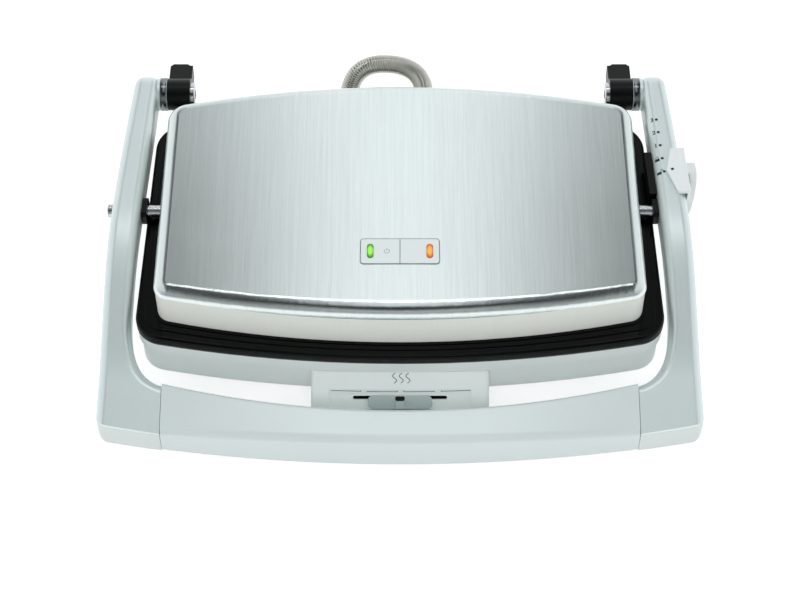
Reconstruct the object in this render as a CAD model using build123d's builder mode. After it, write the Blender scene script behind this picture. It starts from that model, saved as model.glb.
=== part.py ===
"""Contact sandwich press: heated tray base, floating lid and a lift-over U-shaped handle.

Millimetres. Origin under the middle of the press on the surface it stands on,
+X to the right, +Y to the rear, +Z up. The press is modelled closed.
"""
from build123d import *
from math import atan2, cos, degrees, radians
import os

# ---------------------------------------------------------------- driving dimensions
# Outline of the plates and of the rims round them
RIM_HALF_FRONT = 171.2
RIM_HALF_REAR = RIM_HALF_FRONT - 4.9
RIM_FRONT = -95.0
RIM_REAR = 110.0
RIM_FRONT_BOW = 18.0
RIM_REAR_BOW = 13.0
RIM_FRONT_RADIUS = 19.0
RIM_REAR_RADIUS = 22.0

# Steel top of the lid, set in from the rim
STEEL_SIDE_LEDGE = 14.2
STEEL_REAR_SIDE_LEDGE = 10.3
STEEL_FRONT_LEDGE = 10.5
STEEL_REAR_LEDGE = 4.5
STEEL_FRONT_RADIUS = 10.5
STEEL_REAR_RADIUS = 14.0
STEEL_EDGE_RADIUS = 8.5
STEEL_FLANGE = 1.0
STEEL_SHEET = 1.2
CROWN = 3.2

# Levels, from the standing surface up
FOOT_HEIGHT = 8.0
HOUSING_FLOOR = 13.0
BAND_BOTTOM = 37.0
BAND_TOP = 47.5
COOKING_LEVEL = 46.0
LIP_TOP = 49.0
PARTING_GAP = 0.4
LEDGE_TOP = 54.5
STEEL_BAND_BOTTOM = 56.0
STEEL_SEAM = 81.5
LID_TOP = 91.0

# Walls and clearances
HOUSING_WALL = 2.4
BAND_INSET = 0.6
LOWER_WALL_INSET = 2.2
PLATE_WALL = 3.0
FIT = 0.3
RUNNING_FIT = 0.05
ELEMENT_RADIUS = 3.5

# Handle
ARM_GAP = 2.8
ARM_TAPER = 0.0476
ARM_WIDTH = 16.5
ARM_BULGE = 2.6
ARM_TOP = 74.0
ARM_DEPTH = 24.0
ARM_WALL = 2.6
ARM_TOP_WALL = 3.0
ARM_EDGE_RADIUS = 6.0
ARM_CORNER_RADIUS = 8.0
HANDLE_FLOOR = 9.0
BAR_REACH = 52.3
BAR_SEAM = RIM_HALF_FRONT - 18.2
BAR_FRONT_BOW = 11.3
BAR_DEPTH = 23.8
BAR_SEAM_DEPTH = 34.5
BAR_TOP_REAR = 39.0
BAR_TOP_FRONT = 37.6
SEAM_TOP_REAR = 37.0
SEAM_TOP_FRONT = 29.0
BAR_WALL = 2.6

# Rear axles and lid pivots
AXLE_Y = RIM_REAR + 9.5
AXLE_Z = 62.0
AXLE_RADIUS = 4.0
PIVOT_Y = 17.5
PIVOT_RADIUS = 3.9
BRACKET_INNER = RIM_HALF_REAR - 21.8
BRACKET_HEAD_RADIUS = 11.0

# Controls
CONSOLE_HALF = 57.5
CONSOLE_DROP = 21.0
HEIGHT_STEP = 11.3
HEIGHT_STEPS = 4

# Steel conduit from the base to the lid
CONDUIT_RADIUS = 5.8
CONDUIT_BEND = 25.0

# ---------------------------------------------------------------- derived places
RIM_FRONT_CORNER = RIM_FRONT + RIM_FRONT_BOW
RIM_REAR_CORNER = RIM_REAR - RIM_REAR_BOW
SKIRT_BOTTOM = LIP_TOP + PARTING_GAP
UPPER_PLATE_TOP = SKIRT_BOTTOM + PLATE_WALL
RIB_DEPTH = SKIRT_BOTTOM - COOKING_LEVEL - 1.6
LOWER_PLATE_BOTTOM = COOKING_LEVEL - 3.5
HEIGHT_TRAVEL = HEIGHT_STEP * HEIGHT_STEPS
BAR_FRONT = RIM_FRONT - BAR_REACH
PIVOT_Z = AXLE_Z


def rim_half(y):
    """Half-width of the rim outline at a depth y."""
    share = (y - RIM_FRONT_CORNER) / (RIM_REAR_CORNER - RIM_FRONT_CORNER)
    return RIM_HALF_FRONT + share * (RIM_HALF_REAR - RIM_HALF_FRONT)


ARM_IN_ZERO = rim_half(0) + ARM_GAP


def arm_inner(y):
    """Distance of an arm's inner face from the middle at a depth y."""
    return ARM_IN_ZERO - ARM_TAPER * y


STEEL_HALF_FRONT = RIM_HALF_FRONT - STEEL_SIDE_LEDGE
STEEL_HALF_REAR = RIM_HALF_REAR - STEEL_REAR_SIDE_LEDGE
STEEL_FRONT = RIM_FRONT + STEEL_FRONT_LEDGE
STEEL_REAR = RIM_REAR - STEEL_REAR_LEDGE


def save(piece, name):
    """Label a finished piece and write it as one STEP file."""
    piece.label = name
    export_step(piece, f"parts/{name}.step")


# ---------------------------------------------------------------- shared outlines
def bowed_outline(height, half_front, half_rear, front, rear, bows, radii, inset):
    """Four-sided outline with a bowed front and rear and rounded corners."""
    half_front = half_front - inset
    half_rear = half_rear - inset
    front = front + inset
    rear = rear - inset
    front_left = (-half_front, front + bows[0])
    front_right = (half_front, front + bows[0])
    rear_left = (-half_rear, rear - bows[1])
    rear_right = (half_rear, rear - bows[1])
    with BuildSketch(Plane.XY.offset(height)) as outline:
        with BuildLine():
            ThreePointArc(front_left, (0, front), front_right)
            Line(front_right, rear_right)
            ThreePointArc(rear_right, (0, rear), rear_left)
            Line(rear_left, front_left)
        make_face()
        corners = outline.vertices().sort_by(Axis.Y)
        fillet(corners[:2], max(radii[0] - inset, 3.0))
        fillet(outline.vertices().sort_by(Axis.Y)[-2:], max(radii[1] - inset, 3.0))
    return outline.sketch


def rim_outline(height, inset=0.0):
    """Outline of the plates' rims."""
    bows = (RIM_FRONT_BOW, RIM_REAR_BOW)
    radii = (RIM_FRONT_RADIUS, RIM_REAR_RADIUS)
    return bowed_outline(height, RIM_HALF_FRONT, RIM_HALF_REAR, RIM_FRONT, RIM_REAR,
                         bows, radii, inset)


def steel_outline(height, inset=0.0):
    """Outline of the steel top of the lid."""
    bows = (RIM_FRONT_BOW, RIM_REAR_BOW + 2.5)
    radii = (STEEL_FRONT_RADIUS, STEEL_REAR_RADIUS)
    return bowed_outline(height, STEEL_HALF_FRONT, STEEL_HALF_REAR, STEEL_FRONT,
                         STEEL_REAR, bows, radii, inset)


def slab(sketch, thickness, mode=Mode.ADD):
    """Extrude an outline up by a thickness inside the current part."""
    extrude(sketch, amount=thickness, mode=mode)


# ---------------------------------------------------------------- lid
def lid_blank(inset, bottom, top, radius):
    """Solid under the crowned steel top, with its rolled edge."""
    half = STEEL_HALF_FRONT
    with BuildPart() as blank:
        slab(steel_outline(bottom, inset), top - bottom)
        with BuildSketch(Plane.XZ) as arch:
            with BuildLine():
                Line((-half, bottom), (half, bottom))
                Line((half, bottom), (half, top - CROWN))
                ThreePointArc((half, top - CROWN), (0, top), (-half, top - CROWN))
                Line((-half, top - CROWN), (-half, bottom))
            make_face()
        extrude(arch.sketch, amount=400, both=True, mode=Mode.INTERSECT)
        fillet(blank.faces().sort_by(Axis.Z)[-1].edges(), radius)
    return blank.part


PANEL_WIDTH = 50.6
PANEL_DEPTH = 20.0
PANEL_Y = -37.7
PANEL_RADIUS = 2.2
LENS_OFFSET = 19.0
LENS_LENGTH = 11.4
LENS_WIDTH = 4.2


def panel_outline(height, margin=0.0):
    """Rounded rectangle of the indicator panel."""
    with BuildSketch(Plane.XY.offset(height)) as outline:
        with Locations((0, PANEL_Y)):
            RectangleRounded(PANEL_WIDTH + 2 * margin, PANEL_DEPTH + 2 * margin,
                             PANEL_RADIUS + margin)
    return outline.sketch


def lens_outline(height, side, margin=0.0):
    """Upright pill of one lamp's lens; side is -1 for the left one, +1 for the right."""
    with BuildSketch(Plane.XY.offset(height)) as outline:
        with Locations((side * LENS_OFFSET, PANEL_Y)):
            SlotOverall(LENS_LENGTH + 2 * margin, LENS_WIDTH + 2 * margin, rotation=90)
    return outline.sketch


def make_lid_cover():
    """Pressed steel top of the lid with the window for the indicator panel."""
    edge_radius = min(STEEL_EDGE_RADIUS, LID_TOP - STEEL_SEAM - STEEL_FLANGE)
    inner_radius = edge_radius - STEEL_SHEET
    cavity = lid_blank(STEEL_SHEET, STEEL_SEAM - 1, LID_TOP - STEEL_SHEET, inner_radius)
    with BuildPart() as cover:
        add(lid_blank(0, STEEL_SEAM, LID_TOP, edge_radius))
        add(cavity, mode=Mode.SUBTRACT)
        slab(panel_outline(STEEL_SEAM), 20, Mode.SUBTRACT)
    return cover.part


def side_bore(radius, y, z, mode=Mode.SUBTRACT):
    """Bore along X right through both sides of the current part."""
    with BuildSketch(Plane.YZ) as bore:
        with Locations((y, z)):
            Circle(radius)
    extrude(bore.sketch, amount=300, both=True, mode=mode)


CONDUIT_LID = (16.5, 70.2)
GLAND_RADIUS = 7.6


def make_lid_band():
    """Satin steel wall under the top, bored for the pivot bolts and the conduit."""
    lap = STEEL_SHEET + 0.8
    with BuildPart() as band:
        slab(steel_outline(STEEL_BAND_BOTTOM, 0.5), STEEL_SEAM - PARTING_GAP - STEEL_BAND_BOTTOM)
        slab(steel_outline(STEEL_BAND_BOTTOM, lap), STEEL_SEAM + 0.6 - STEEL_BAND_BOTTOM)
        slab(steel_outline(STEEL_BAND_BOTTOM, lap + 1.0), 60, Mode.SUBTRACT)
        side_bore(PIVOT_RADIUS + 0.7, PIVOT_Y, PIVOT_Z)
        with BuildSketch(Plane.XZ.offset(-STEEL_REAR - 5)):
            with Locations(CONDUIT_LID):
                Circle(GLAND_RADIUS + RUNNING_FIT)
        extrude(amount=20, mode=Mode.SUBTRACT)
    return band.part


LID_SCREW_X = RIM_HALF_REAR - 20.6
LID_SCREW_SPOTS = ((-LID_SCREW_X, RIM_FRONT + 45), (LID_SCREW_X, RIM_FRONT + 45),
                   (-LID_SCREW_X, RIM_REAR - 38), (LID_SCREW_X, RIM_REAR - 38))
LID_SCREW_RADIUS = 1.6
FRAME_WINDOW = 34.0
RIM_EDGE_RADIUS = 2.0
BEAD_INSET = 5.6
BEAD_HEIGHT = 0.8
SPIGOT_OUT = 3.3
SPIGOT_IN = 5.3
SPIGOT_TOP = 70.0
PLATE_INSET = 5.2


def make_lid_frame():
    """Black moulded rim of the lid: skirt, stepped ledge and the spigot inside the steel."""
    with BuildPart() as frame:
        slab(rim_outline(SKIRT_BOTTOM), LEDGE_TOP - SKIRT_BOTTOM)
        fillet(frame.faces().sort_by(Axis.Z)[-1].edges(), RIM_EDGE_RADIUS)
        slab(rim_outline(LEDGE_TOP, BEAD_INSET), BEAD_HEIGHT)
        fillet(frame.faces().sort_by(Axis.Z)[-1].edges(), BEAD_HEIGHT / 2)
        slab(steel_outline(LEDGE_TOP, -1.5), STEEL_BAND_BOTTOM - LEDGE_TOP)
        slab(steel_outline(LEDGE_TOP, SPIGOT_OUT), SPIGOT_TOP - LEDGE_TOP)
        slab(steel_outline(LEDGE_TOP, SPIGOT_IN), 60, Mode.SUBTRACT)
        slab(rim_outline(SKIRT_BOTTOM, PLATE_INSET - 0.6), UPPER_PLATE_TOP + 0.2 - SKIRT_BOTTOM,
             Mode.SUBTRACT)
        slab(rim_outline(SKIRT_BOTTOM, FRAME_WINDOW), 20, Mode.SUBTRACT)
        with BuildSketch(Plane.XY.offset(SKIRT_BOTTOM)):
            with Locations(*LID_SCREW_SPOTS):
                Circle(LID_SCREW_RADIUS + 0.3)
        extrude(amount=20, mode=Mode.SUBTRACT)
        side_bore(PIVOT_RADIUS + 2.0, PIVOT_Y, PIVOT_Z)
        with BuildSketch(Plane.XZ.offset(-STEEL_REAR - 5)):
            with Locations(CONDUIT_LID):
                Circle(GLAND_RADIUS + 3.6)
        extrude(amount=20, mode=Mode.SUBTRACT)
    return frame.part


RIB_PITCH = 12.0
RIB_WIDTH = 6.0
RIB_MARGIN = 17.0


def make_upper_plate():
    """Cast upper plate with its row of pressing ribs."""
    rib_count = int((RIM_HALF_REAR - RIB_MARGIN) * 2 // RIB_PITCH)
    rib_length = RIM_REAR_CORNER - RIM_FRONT_CORNER - 12.0
    rib_middle = (RIM_REAR_CORNER + RIM_FRONT_CORNER) / 2
    with BuildPart() as plate:
        slab(rim_outline(SKIRT_BOTTOM, PLATE_INSET), PLATE_WALL)
        with BuildSketch(Plane.XY.offset(SKIRT_BOTTOM)):
            with Locations((0, rib_middle)):
                with GridLocations(RIB_PITCH, 1, rib_count, 1):
                    SlotOverall(rib_length, RIB_WIDTH, rotation=90)
        extrude(amount=-RIB_DEPTH, taper=30)
    return plate.part


def make_element(height):
    """Tubular heater: an open loop with its cold ends turned in at the rear."""
    half_x = RIM_HALF_REAR - 62.0
    rear = RIM_REAR - 50.0
    front = RIM_FRONT + 52.0
    with BuildPart() as element:
        with BuildLine() as route:
            FilletPolyline((-20, rear, height), (-half_x, rear, height), (-half_x, front, height),
                           (half_x, front, height), (half_x, rear, height), (20, rear, height),
                           radius=25)
        with BuildSketch(Plane(origin=route.line @ 0, z_dir=route.line % 0)):
            Circle(ELEMENT_RADIUS)
        sweep()
    return element.part


REFLECTOR_SHEET = 0.8


def make_upper_reflector():
    """Sheet pan over the upper element, standing on the frame's web."""
    inset = FRAME_WINDOW - 4.5
    height = 9.5
    with BuildPart() as pan:
        slab(rim_outline(LEDGE_TOP, inset), REFLECTOR_SHEET)
        slab(rim_outline(LEDGE_TOP, FRAME_WINDOW + 1), height)
        slab(rim_outline(LEDGE_TOP, FRAME_WINDOW + 1 + REFLECTOR_SHEET), height - REFLECTOR_SHEET,
             Mode.SUBTRACT)
    return pan.part


PANEL_BACK = 4.2


def make_indicator_panel():
    """Two-tile lamp panel: proud face, groove between the tiles and two lens wells."""
    face = LID_TOP + 0.4
    back = LID_TOP - PANEL_BACK
    with BuildPart() as panel:
        slab(panel_outline(back, -0.15), face - back)
        fillet(panel.faces().sort_by(Axis.Z)[-1].edges(), 0.3)
        slab(panel_outline(back, 2.2), LID_TOP - STEEL_SHEET - 0.35 - back)
        with BuildSketch(Plane.XY.offset(face)):
            with Locations((0, PANEL_Y)):
                Rectangle(0.5, PANEL_DEPTH)
        extrude(amount=-0.6, mode=Mode.SUBTRACT)
        for side in (-1, 1):
            slab(lens_outline(back, side, 0.05), 10, Mode.SUBTRACT)
    return panel.part


def make_lens(side):
    """Pill-shaped lens with a flange behind the panel."""
    back = LID_TOP - PANEL_BACK
    with BuildPart() as lens:
        slab(lens_outline(back, side), LID_TOP + 0.9 - back)
        fillet(lens.faces().sort_by(Axis.Z)[-1].edges(), 0.6)
        slab(lens_outline(back - 1.0, side, 0.8), 1.0)
    return lens.part


def make_lamp_board():
    """Circuit board under the panel with a neon lamp below each lens."""
    board_top = LID_TOP - PANEL_BACK - 5.6
    board_width = PANEL_WIDTH + 19.0
    with BuildPart() as board:
        with BuildSketch(Plane.XY.offset(board_top)):
            with Locations((0, PANEL_Y)):
                RectangleRounded(board_width, PANEL_DEPTH + 4, 2)
        extrude(amount=-1.6)
        for side in (-1, 1):
            with BuildSketch(Plane.XY.offset(board_top)):
                with Locations((side * LENS_OFFSET, PANEL_Y)):
                    Circle(1.9)
            extrude(amount=4.3)
            with BuildSketch(Plane.XY.offset(board_top)):
                with Locations((side * (board_width / 2 - 3.5), PANEL_Y)):
                    Circle(2.6)
            extrude(amount=5.6 + PANEL_BACK - STEEL_SHEET - 0.4)
    return board.part


THERMAL_FUSE = (24.0, 12.0, 5.0)


def make_thermal_fuse(floor, y):
    """Thermal cut-out: a ceramic body on a clamp plate."""
    with BuildPart() as fuse:
        with BuildSketch(Plane.XY.offset(floor)):
            with Locations((0, y)):
                RectangleRounded(THERMAL_FUSE[0] + 12, THERMAL_FUSE[1], 3)
        extrude(amount=1.0)
        with BuildSketch(Plane.XY.offset(floor + 1.0)):
            with Locations((0, y)):
                RectangleRounded(THERMAL_FUSE[0], THERMAL_FUSE[1] - 2, 2)
        extrude(amount=THERMAL_FUSE[2])
        fillet(fuse.faces().sort_by(Axis.Z)[-1].edges(), 1.0)
    return fuse.part


EAR_SHEET = 3.0
EAR_LENGTH = 24.0


def steel_half(y):
    """Half-width of the steel outline at a depth y."""
    front = STEEL_FRONT + RIM_FRONT_BOW
    rear = STEEL_REAR - RIM_REAR_BOW - 2.5
    share = (y - front) / (rear - front)
    return STEEL_HALF_FRONT + share * (STEEL_HALF_REAR - STEEL_HALF_FRONT)


EAR_FACE = steel_half(PIVOT_Y + EAR_LENGTH / 2) - SPIGOT_IN - FIT
EAR_FOOT = 1.2
BUSH_RADIUS = 5.2
BUSH_FLANGE = 6.1


def make_pivot_ears():
    """Angle brackets inside the lid that take the pivot bolts."""
    with BuildPart() as ears:
        with BuildSketch(Plane.YZ.offset(EAR_FACE)):
            with BuildLine():
                Polyline((PIVOT_Y - EAR_LENGTH / 2, LEDGE_TOP), (PIVOT_Y + EAR_LENGTH / 2, LEDGE_TOP),
                         (PIVOT_Y + EAR_LENGTH / 2, PIVOT_Z), (PIVOT_Y - EAR_LENGTH / 2, PIVOT_Z),
                         close=True)
            make_face()
            with Locations((PIVOT_Y, PIVOT_Z)):
                Circle(EAR_LENGTH / 2)
        extrude(amount=-EAR_SHEET)
        with BuildSketch(Plane.XY.offset(LEDGE_TOP)):
            with Locations((EAR_FACE - 4.5, PIVOT_Y)):
                Rectangle(9, EAR_LENGTH)
        extrude(amount=EAR_FOOT)
        with BuildSketch(Plane.XY.offset(LEDGE_TOP)):
            with Locations((EAR_FACE, PIVOT_Y)):
                Rectangle(30, 2 * EAR_LENGTH)
        extrude(amount=-20, mode=Mode.SUBTRACT)
        side_bore(BUSH_RADIUS + RUNNING_FIT, PIVOT_Y, PIVOT_Z)
        mirror(about=Plane.YZ)
    return ears.part


def make_pivot_bushes():
    """Flanged sleeves pressed into the ears, running on the pivot bolts."""
    with BuildPart() as bushes:
        with BuildSketch(Plane.YZ.offset(EAR_FACE)):
            with Locations((PIVOT_Y, PIVOT_Z)):
                Circle(BUSH_RADIUS)
        extrude(amount=-EAR_SHEET - 0.2)
        with BuildSketch(Plane.YZ.offset(EAR_FACE - EAR_SHEET)):
            with Locations((PIVOT_Y, PIVOT_Z)):
                Circle(BUSH_FLANGE)
        extrude(amount=-1.2)
        side_bore(PIVOT_RADIUS + RUNNING_FIT, PIVOT_Y, PIVOT_Z)
        mirror(about=Plane.YZ)
    return bushes.part


def make_conduit_lid_gland():
    """Nut and collar that hold the conduit in the rear of the lid."""
    wall = STEEL_REAR - 0.5
    collar_end = STEEL_REAR + 4.5
    with BuildPart() as gland:
        with BuildSketch(Plane.XZ.offset(-wall)):
            with Locations(CONDUIT_LID):
                Circle(GLAND_RADIUS + 2.0)
        extrude(amount=-(collar_end - 1.5 - wall))
        with BuildSketch(Plane.XZ.offset(-wall)):
            with Locations(CONDUIT_LID):
                Circle(GLAND_RADIUS)
        extrude(amount=-(collar_end - wall))
        with BuildSketch(Plane.XZ.offset(-wall)):
            with Locations(CONDUIT_LID):
                Circle(GLAND_RADIUS)
        extrude(amount=3.0)
        with BuildSketch(Plane.XZ.offset(-wall + 3.0)):
            with Locations(CONDUIT_LID):
                RegularPolygon(GLAND_RADIUS + 2.6, 6)
        extrude(amount=4.0)
        with BuildSketch(Plane.XZ.offset(-collar_end)):
            with Locations(CONDUIT_LID):
                Circle(CONDUIT_RADIUS - 1.2)
        extrude(amount=20, mode=Mode.SUBTRACT)
    return gland.part


def make_lid_screws():
    """Screws that hold the upper plate up to the frame."""
    with BuildPart() as screws:
        for spot in LID_SCREW_SPOTS:
            with BuildSketch(Plane.XY.offset(UPPER_PLATE_TOP)):
                with Locations(spot):
                    Circle(LID_SCREW_RADIUS)
            extrude(amount=5.0)
            with BuildSketch(Plane.XY.offset(UPPER_PLATE_TOP + 2.2)):
                with Locations(spot):
                    Circle(3.5)
            extrude(amount=2.4)
    return screws.part


# ---------------------------------------------------------------- base
SHELF = BAND_TOP - 8.0
SHELF_WALL = 2.2
FLOOR_TOP = HOUSING_FLOOR + 2.5
CAVITY_INSET = LOWER_WALL_INSET + HOUSING_WALL
APRON_Y = RIM_FRONT + 1.0
APRON_Z = BAND_BOTTOM - 0.5
APRON_FOOT_Y = APRON_Y - CONSOLE_DROP
APRON_FOOT_Z = APRON_Z - CONSOLE_DROP
RECESS_WIDTH = 92.0
RECESS_HEIGHT = 11.6
RECESS_DEPTH = 1.6
RECESS_DOWN = 19.0
RECESS_RAMP = 4.0
RECESS_FADE = 2.0
TRAY_EDGE_RADIUS = 2.5
SLOT_DOWN = 17.0
SLOT_LENGTH = 61.0
SLOT_HEIGHT = 2.4
SEAT_INNER = BRACKET_INNER - 1.0
SEAT_OUTER = BRACKET_INNER + 12.0
SEAT_BOTTOM = 16.0
SEAT_TOP = BAND_TOP - 1.5
SEAT_FACE = RIM_REAR - 7.0
BRACKET_SCREW_X = BRACKET_INNER + 5.5
BRACKET_SCREW_LEVELS = (24.0, 39.0)
BRACKET_SCREW_LENGTH = 10.0
INLET_LEVEL = 26.0
INLET_BORE = 3.25
INLET_BODY = 5.5
GLAND_X = -35.5
LIP_INSET = 18.0
COVER_INSET = 10.0
COVER_SHEET = 1.8
FOOT_X = RIM_HALF_REAR - 48.3
FOOT_SPOTS = ((-FOOT_X, RIM_FRONT + 39), (FOOT_X, RIM_FRONT + 39),
              (-FOOT_X, RIM_REAR - 38), (FOOT_X, RIM_REAR - 38))


def apron_plane(lift=0.0):
    """Plane on the sloped face of the console, its y axis pointing up the slope."""
    rise = lift * cos(radians(45))
    return Plane(origin=(0, APRON_Y - rise, APRON_Z + rise), x_dir=(1, 0, 0), z_dir=(0, -1, 1))


def cover_screw_spots():
    """Places of the six screws of the bottom cover, in from the rim."""
    inset = (COVER_INSET + LIP_INSET) / 2
    front = RIM_FRONT + inset + 2.5
    rear = RIM_REAR - inset - 2.0
    side = rim_half(0) - inset
    return ((-60, front), (60, front), (-side, 0), (side, 0), (-60, rear), (60, rear))


CONSOLE_RADIUS = 3.0


def is_console_side(edge):
    """True for the edges down the two sides of the console's apron."""
    middle = edge @ 0.5
    side_on = abs((edge @ 0).X - (edge @ 1).X) < 0.01 and middle.Z > HOUSING_FLOOR + 1
    return side_on and abs(abs(middle.X) - CONSOLE_HALF) < 0.1 and middle.Y < APRON_Y - 5


def heat_recess():
    """Shallow pocket in the console that fades out towards its top edge."""
    top = RECESS_HEIGHT / 2 - RECESS_DOWN + RECESS_FADE
    tilt = degrees(atan2(RECESS_DEPTH, RECESS_RAMP))
    with BuildPart() as pocket:
        with BuildSketch(apron_plane()):
            with Locations((0, RECESS_HEIGHT / 2 - RECESS_DOWN)):
                RectangleRounded(RECESS_WIDTH, 2 * RECESS_HEIGHT, 5)
        extrude(amount=-RECESS_DEPTH)
        ramp = apron_plane() * Pos(0, top, 0) * Rot(tilt, 0, 0)
        split(bisect_by=Plane(ramp), keep=Keep.TOP)
    return pocket.part


def make_base_housing():
    """Moulded tray: band, lower wall, console with its recess and slot, bracket seats."""
    spots = cover_screw_spots()
    with BuildPart() as housing:
        slab(rim_outline(HOUSING_FLOOR, LOWER_WALL_INSET), BAND_BOTTOM - HOUSING_FLOOR)
        fillet(housing.faces().sort_by(Axis.Z)[0].edges(), TRAY_EDGE_RADIUS)
        # console apron
        with BuildSketch(Plane.YZ):
            with BuildLine():
                Polyline((APRON_Y + 14, APRON_Z), (APRON_Y, APRON_Z), (APRON_FOOT_Y, APRON_FOOT_Z),
                         (APRON_FOOT_Y, HOUSING_FLOOR), (APRON_Y + 14, HOUSING_FLOOR), close=True)
            make_face()
        extrude(amount=CONSOLE_HALF, both=True)
        fillet(housing.edges().filter_by(is_console_side), CONSOLE_RADIUS)
        slab(rim_outline(BAND_BOTTOM, BAND_INSET), BAND_TOP - BAND_BOTTOM)
        # flat seats for the hinge brackets
        with BuildSketch(Plane.XY.offset(SEAT_BOTTOM)):
            for side in (-1, 1):
                with Locations((side * (SEAT_INNER + SEAT_OUTER) / 2, SEAT_FACE - 12)):
                    Rectangle(SEAT_OUTER - SEAT_INNER, 24)
        extrude(amount=SEAT_TOP - SEAT_BOTTOM)
        # hollow inside, shelf for the plate and opening for the bottom cover
        slab(rim_outline(FLOOR_TOP, CAVITY_INSET), 60, Mode.SUBTRACT)
        slab(rim_outline(SHELF, BAND_INSET + SHELF_WALL), 60, Mode.SUBTRACT)
        slab(rim_outline(0, LIP_INSET), 60, Mode.SUBTRACT)
        with BuildSketch(Plane.YZ):
            wall = (RECESS_DEPTH + HOUSING_WALL) / cos(radians(45))
            roof = BAND_BOTTOM - HOUSING_WALL
            slope = APRON_Z - APRON_Y - wall
            with BuildLine():
                Polyline((APRON_Y + 20, FLOOR_TOP), (FLOOR_TOP - slope, FLOOR_TOP),
                         (roof - slope, roof), (APRON_Y + 20, roof), close=True)
            make_face()
        extrude(amount=CONSOLE_HALF - HOUSING_WALL, both=True, mode=Mode.SUBTRACT)
        # heat slider's recess and slot
        add(heat_recess(), mode=Mode.SUBTRACT)
        with BuildSketch(apron_plane()):
            with Locations((0, -SLOT_DOWN)):
                SlotOverall(SLOT_LENGTH, SLOT_HEIGHT)
        extrude(amount=-RECESS_DEPTH - HOUSING_WALL - 1, mode=Mode.SUBTRACT)
        # screw posts on the floor lip
        with BuildSketch(Plane.XY.offset(HOUSING_FLOOR)):
            with Locations(*spots):
                Circle(3.8)
        extrude(amount=7.0)
        with BuildSketch(Plane.XY.offset(HOUSING_FLOOR)):
            with Locations(*spots):
                Circle(1.75)
        extrude(amount=6.0, mode=Mode.SUBTRACT)
        # pilot holes for the bracket screws
        for level in BRACKET_SCREW_LEVELS:
            with BuildSketch(Plane.XZ.offset(-SEAT_FACE)):
                with Locations((-BRACKET_SCREW_X, level), (BRACKET_SCREW_X, level)):
                    Circle(1.8)
            extrude(amount=BRACKET_SCREW_LENGTH - 2.5, mode=Mode.SUBTRACT)
        # holes in the rear wall for the mains inlet and the conduit
        with BuildSketch(Plane.XZ.offset(-RIM_REAR - 5)):
            with Locations((0, INLET_LEVEL)):
                Circle(INLET_BODY + RUNNING_FIT)
            with Locations((GLAND_X, INLET_LEVEL)):
                Circle(5.0)
        extrude(amount=20, mode=Mode.SUBTRACT)
    return housing.part


def make_bottom_cover():
    """Base plate with vent slots, foot pads and screw holes."""
    underside = HOUSING_FLOOR - COVER_SHEET
    with BuildPart() as cover:
        slab(rim_outline(underside, COVER_INSET), COVER_SHEET)
        with BuildSketch(Plane.XY.offset(FOOT_HEIGHT)):
            with Locations(*FOOT_SPOTS):
                Circle(12)
        extrude(amount=underside - FOOT_HEIGHT)
        with BuildSketch(Plane.XY.offset(FOOT_HEIGHT)):
            with Locations(*FOOT_SPOTS):
                Circle(4.05)
        extrude(amount=2.5, mode=Mode.SUBTRACT)
        with BuildSketch(Plane.XY.offset(underside)):
            for row in (-34, 50):
                with Locations((0, row)):
                    with GridLocations(9, 1, 13, 1):
                        SlotOverall(30, 3, rotation=90)
            with Locations(*cover_screw_spots()):
                Circle(1.75)
        extrude(amount=COVER_SHEET, mode=Mode.SUBTRACT)
    return cover.part


def make_cover_screws():
    """Pan-head screws that hold the bottom cover."""
    underside = HOUSING_FLOOR - COVER_SHEET
    with BuildPart() as screws:
        with BuildSketch(Plane.XY.offset(underside)):
            with Locations(*cover_screw_spots()):
                Circle(3.4)
        extrude(amount=-1.9)
        with BuildSketch(Plane.XY.offset(underside)):
            with Locations(*cover_screw_spots()):
                Circle(1.7)
        extrude(amount=7.0)
    return screws.part


def make_rubber_feet():
    """Four tapered rubber feet with a stud."""
    with BuildPart() as feet:
        with BuildSketch(Plane.XY.offset(FOOT_HEIGHT)):
            with Locations(*FOOT_SPOTS):
                Circle(11)
        extrude(amount=-FOOT_HEIGHT, taper=6)
        with BuildSketch(Plane.XY.offset(FOOT_HEIGHT)):
            with Locations(*FOOT_SPOTS):
                Circle(4)
        extrude(amount=2.3)
    return feet.part


GROOVE_INSET = 9.0
GROOVE_WIDTH = 7.0


def make_lower_plate():
    """Cast lower plate: rim, lip, flat cooking surface and grease groove."""
    body_inset = BAND_INSET + SHELF_WALL + 0.4
    with BuildPart() as plate:
        slab(rim_outline(BAND_TOP), LIP_TOP - BAND_TOP)
        chamfer(plate.faces().sort_by(Axis.Z)[-1].edges(), 0.5)
        slab(rim_outline(LOWER_PLATE_BOTTOM, body_inset), LIP_TOP - LOWER_PLATE_BOTTOM - 0.5)
        slab(rim_outline(COOKING_LEVEL, body_inset + 1.3), 20, Mode.SUBTRACT)
        slab(rim_outline(COOKING_LEVEL - 1.8, GROOVE_INSET), 1.8, Mode.SUBTRACT)
        slab(rim_outline(COOKING_LEVEL - 1.8, GROOVE_INSET + GROOVE_WIDTH), 1.8)
    return plate.part


def make_lower_reflector():
    """Sheet pan under the lower element, hung from the housing's shelf."""
    inset = CAVITY_INSET + FIT
    depth = 8.0
    with BuildPart() as pan:
        slab(rim_outline(SHELF, BAND_INSET + SHELF_WALL + FIT), REFLECTOR_SHEET)
        slab(rim_outline(SHELF - depth, inset), depth)
        slab(rim_outline(SHELF - depth + REFLECTOR_SHEET, inset + REFLECTOR_SHEET), 60,
             Mode.SUBTRACT)
    return pan.part


STAND_END = RIM_REAR + 37.3
STAND_PAD = 2.0


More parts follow.
